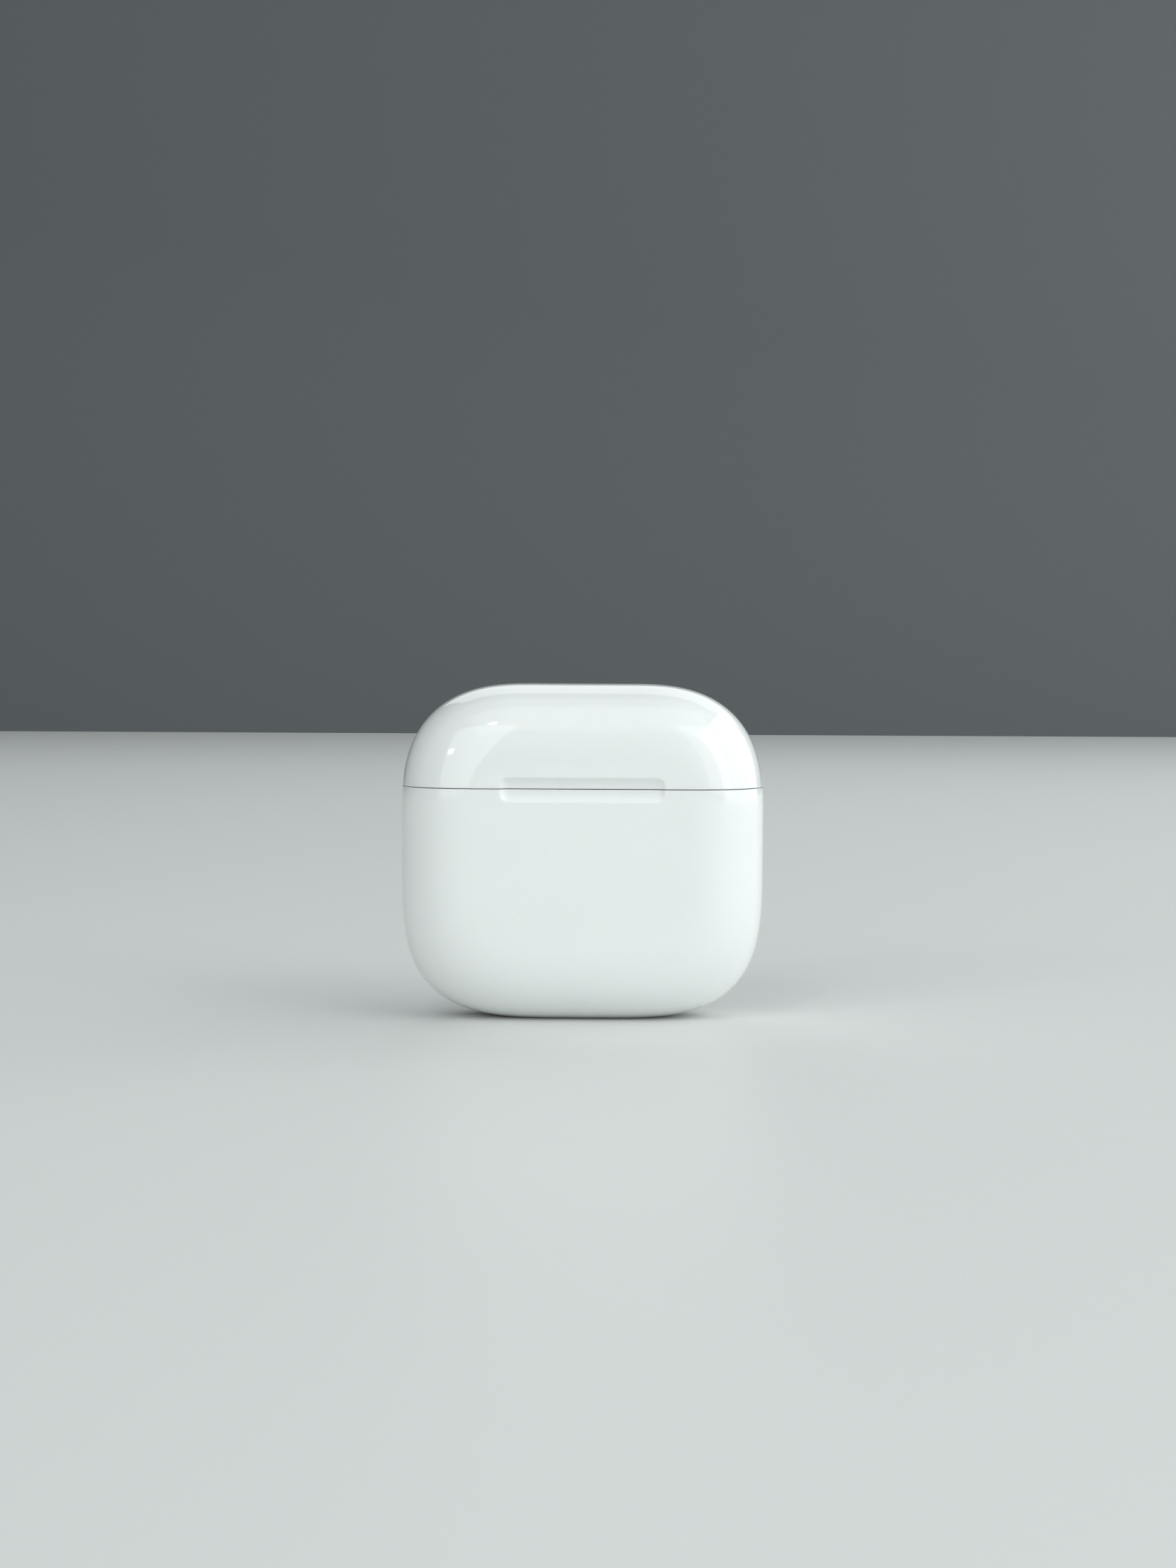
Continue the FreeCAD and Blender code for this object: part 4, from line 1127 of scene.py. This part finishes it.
def panel_light(name, size, radiance, direction, distance, scale):
    """A soft rectangular light that faces the case. Its direction is azimuth to the right of the front
    and elevation, in degrees. Its power is pi times its radiance times its area."""
    azimuth, elevation = (math.radians(part) for part in direction)
    level = math.cos(elevation)
    away = np.array([math.sin(azimuth) * level, -math.cos(azimuth) * level, math.sin(elevation)])
    data = bpy.data.lights.new(name, "AREA")
    data.shape = "RECTANGLE"
    data.size, data.size_y = size
    data.energy = radiance * math.pi * size[0] * size[1] * scale
    data.color = LIGHT_TINT
    light = bpy.data.objects.new(name, data)
    bpy.context.scene.collection.objects.link(light)
    light.location = np.array(LIT_POINT) + away * distance
    light.rotation_mode = "QUATERNION"
    light.rotation_quaternion = Vector(away.tolist()).to_track_quat("Z", "Y")
    light.visible_camera = False


def stage_sheet(name, corners, material):
    """A flat stage piece between four corners."""
    mesh = bpy.data.meshes.new(name)
    mesh.from_pydata(corners, [], [(0, 1, 2, 3)])
    piece = bpy.data.objects.new(name, mesh)
    bpy.context.scene.collection.objects.link(piece)
    mesh.materials.append(material)
    piece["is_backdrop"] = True


class CASE_OT_stage(Operator):
    """Set the plain pale floor, the wall behind, the soft lights and the camera."""

    bl_idname = "case.stage"
    bl_label = "Stage"

    def execute(self, context):
        colours, stage = context.scene.case_colours, context.scene.case_stage
        floor = plain_surface("pale_floor", tuple(colours.floor), 0.5)
        wall = plain_surface("slate_wall", tuple(colours.wall), 0.8)
        far, back = STAGE_REACH, stage.wall_distance
        foot = [(far, back, 0), (-far, back, 0)]
        stage_sheet("floor", [(-far, -far, 0), (far, -far, 0), *foot], floor)
        stage_sheet("wall", [*foot[::-1], (far, back, WALL_HEIGHT), (-far, back, WALL_HEIGHT)], wall)
        world = bpy.data.worlds.new("studio")
        world.use_nodes = True
        background = world.node_tree.nodes["Background"]
        background.inputs["Color"].default_value = (*colours.air, 1.0)
        background.inputs["Strength"].default_value = AIR_STRENGTH
        context.scene.world = world
        context.scene.view_settings.view_transform = "Standard"
        for light in LIGHTS:
            panel_light(*light, stage.light_scale)
        data = bpy.data.cameras.new("camera")
        data.lens = stage.lens
        data.clip_start, data.clip_end = 0.01, 20.0
        camera = bpy.data.objects.new("camera", data)
        context.scene.collection.objects.link(camera)
        elevation = stage.camera_elevation
        away = Vector((0.0, -math.cos(elevation), math.sin(elevation)))
        target = Vector((stage.aim_right, 0.0, stage.aim_height))
        camera.location = target + away * stage.camera_distance
        camera.rotation_mode = "QUATERNION"
        camera.rotation_quaternion = away.to_track_quat("Z", "Y")
        turned = camera.rotation_quaternion.to_matrix() @ Matrix.Rotation(stage.camera_roll, 3, "Z")
        camera.rotation_quaternion = turned.to_quaternion()
        context.scene.camera = camera
        return {"FINISHED"}


OPERATORS = (
    CASE_OT_stage,
    CASE_OT_body,
    CASE_OT_lid,
    CASE_OT_linings,
    CASE_OT_hinge,
    CASE_OT_contacts,
    CASE_OT_port,
    CASE_OT_insides,
)


class CASE_PT_panel(Panel):
    """Lists the steps that build the case."""

    bl_idname = "CASE_PT_panel"
    bl_label = "Earbuds case"
    bl_space_type = "VIEW_3D"
    bl_region_type = "UI"
    bl_category = "Earbuds case"

    def draw(self, context):
        for operator in OPERATORS:
            self.layout.operator(operator.bl_idname)
        for name in GROUPS:
            group = getattr(context.scene, name)
            column = self.layout.column(heading=name)
            for key in group.bl_rna.properties.keys():
                if key not in ("rna_type", "name"):
                    column.prop(group, key)


GROUPS = {
    "case_shell": ShellSizes,
    "case_notch": NotchSizes,
    "case_lining": LiningSizes,
    "case_colours": FinishColours,
    "case_stage": StageSizes,
}


def register():
    """Registers the classes and hangs the property groups on the scene."""
    for group in GROUPS.values():
        bpy.utils.register_class(group)
    for name, group in GROUPS.items():
        setattr(bpy.types.Scene, name, PointerProperty(type=group))
    for operator in OPERATORS:
        bpy.utils.register_class(operator)
    bpy.utils.register_class(CASE_PT_panel)


def unregister():
    """Takes everything that register added away again."""
    bpy.utils.unregister_class(CASE_PT_panel)
    for operator in reversed(OPERATORS):
        bpy.utils.unregister_class(operator)
    for name in GROUPS:
        delattr(bpy.types.Scene, name)
    for group in GROUPS.values():
        bpy.utils.unregister_class(group)


def corners(box):
    """A box as plain lists."""
    return [list(corner) for corner in box]


def main():
    """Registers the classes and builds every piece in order."""
    register()
    for operator in OPERATORS:
        area, name = operator.bl_idname.split(".")
        getattr(getattr(bpy.ops, area), name)()
    {"cad": corners(CAD_BOX), "visual": corners(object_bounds())}


if __name__ == "__main__":
    main()
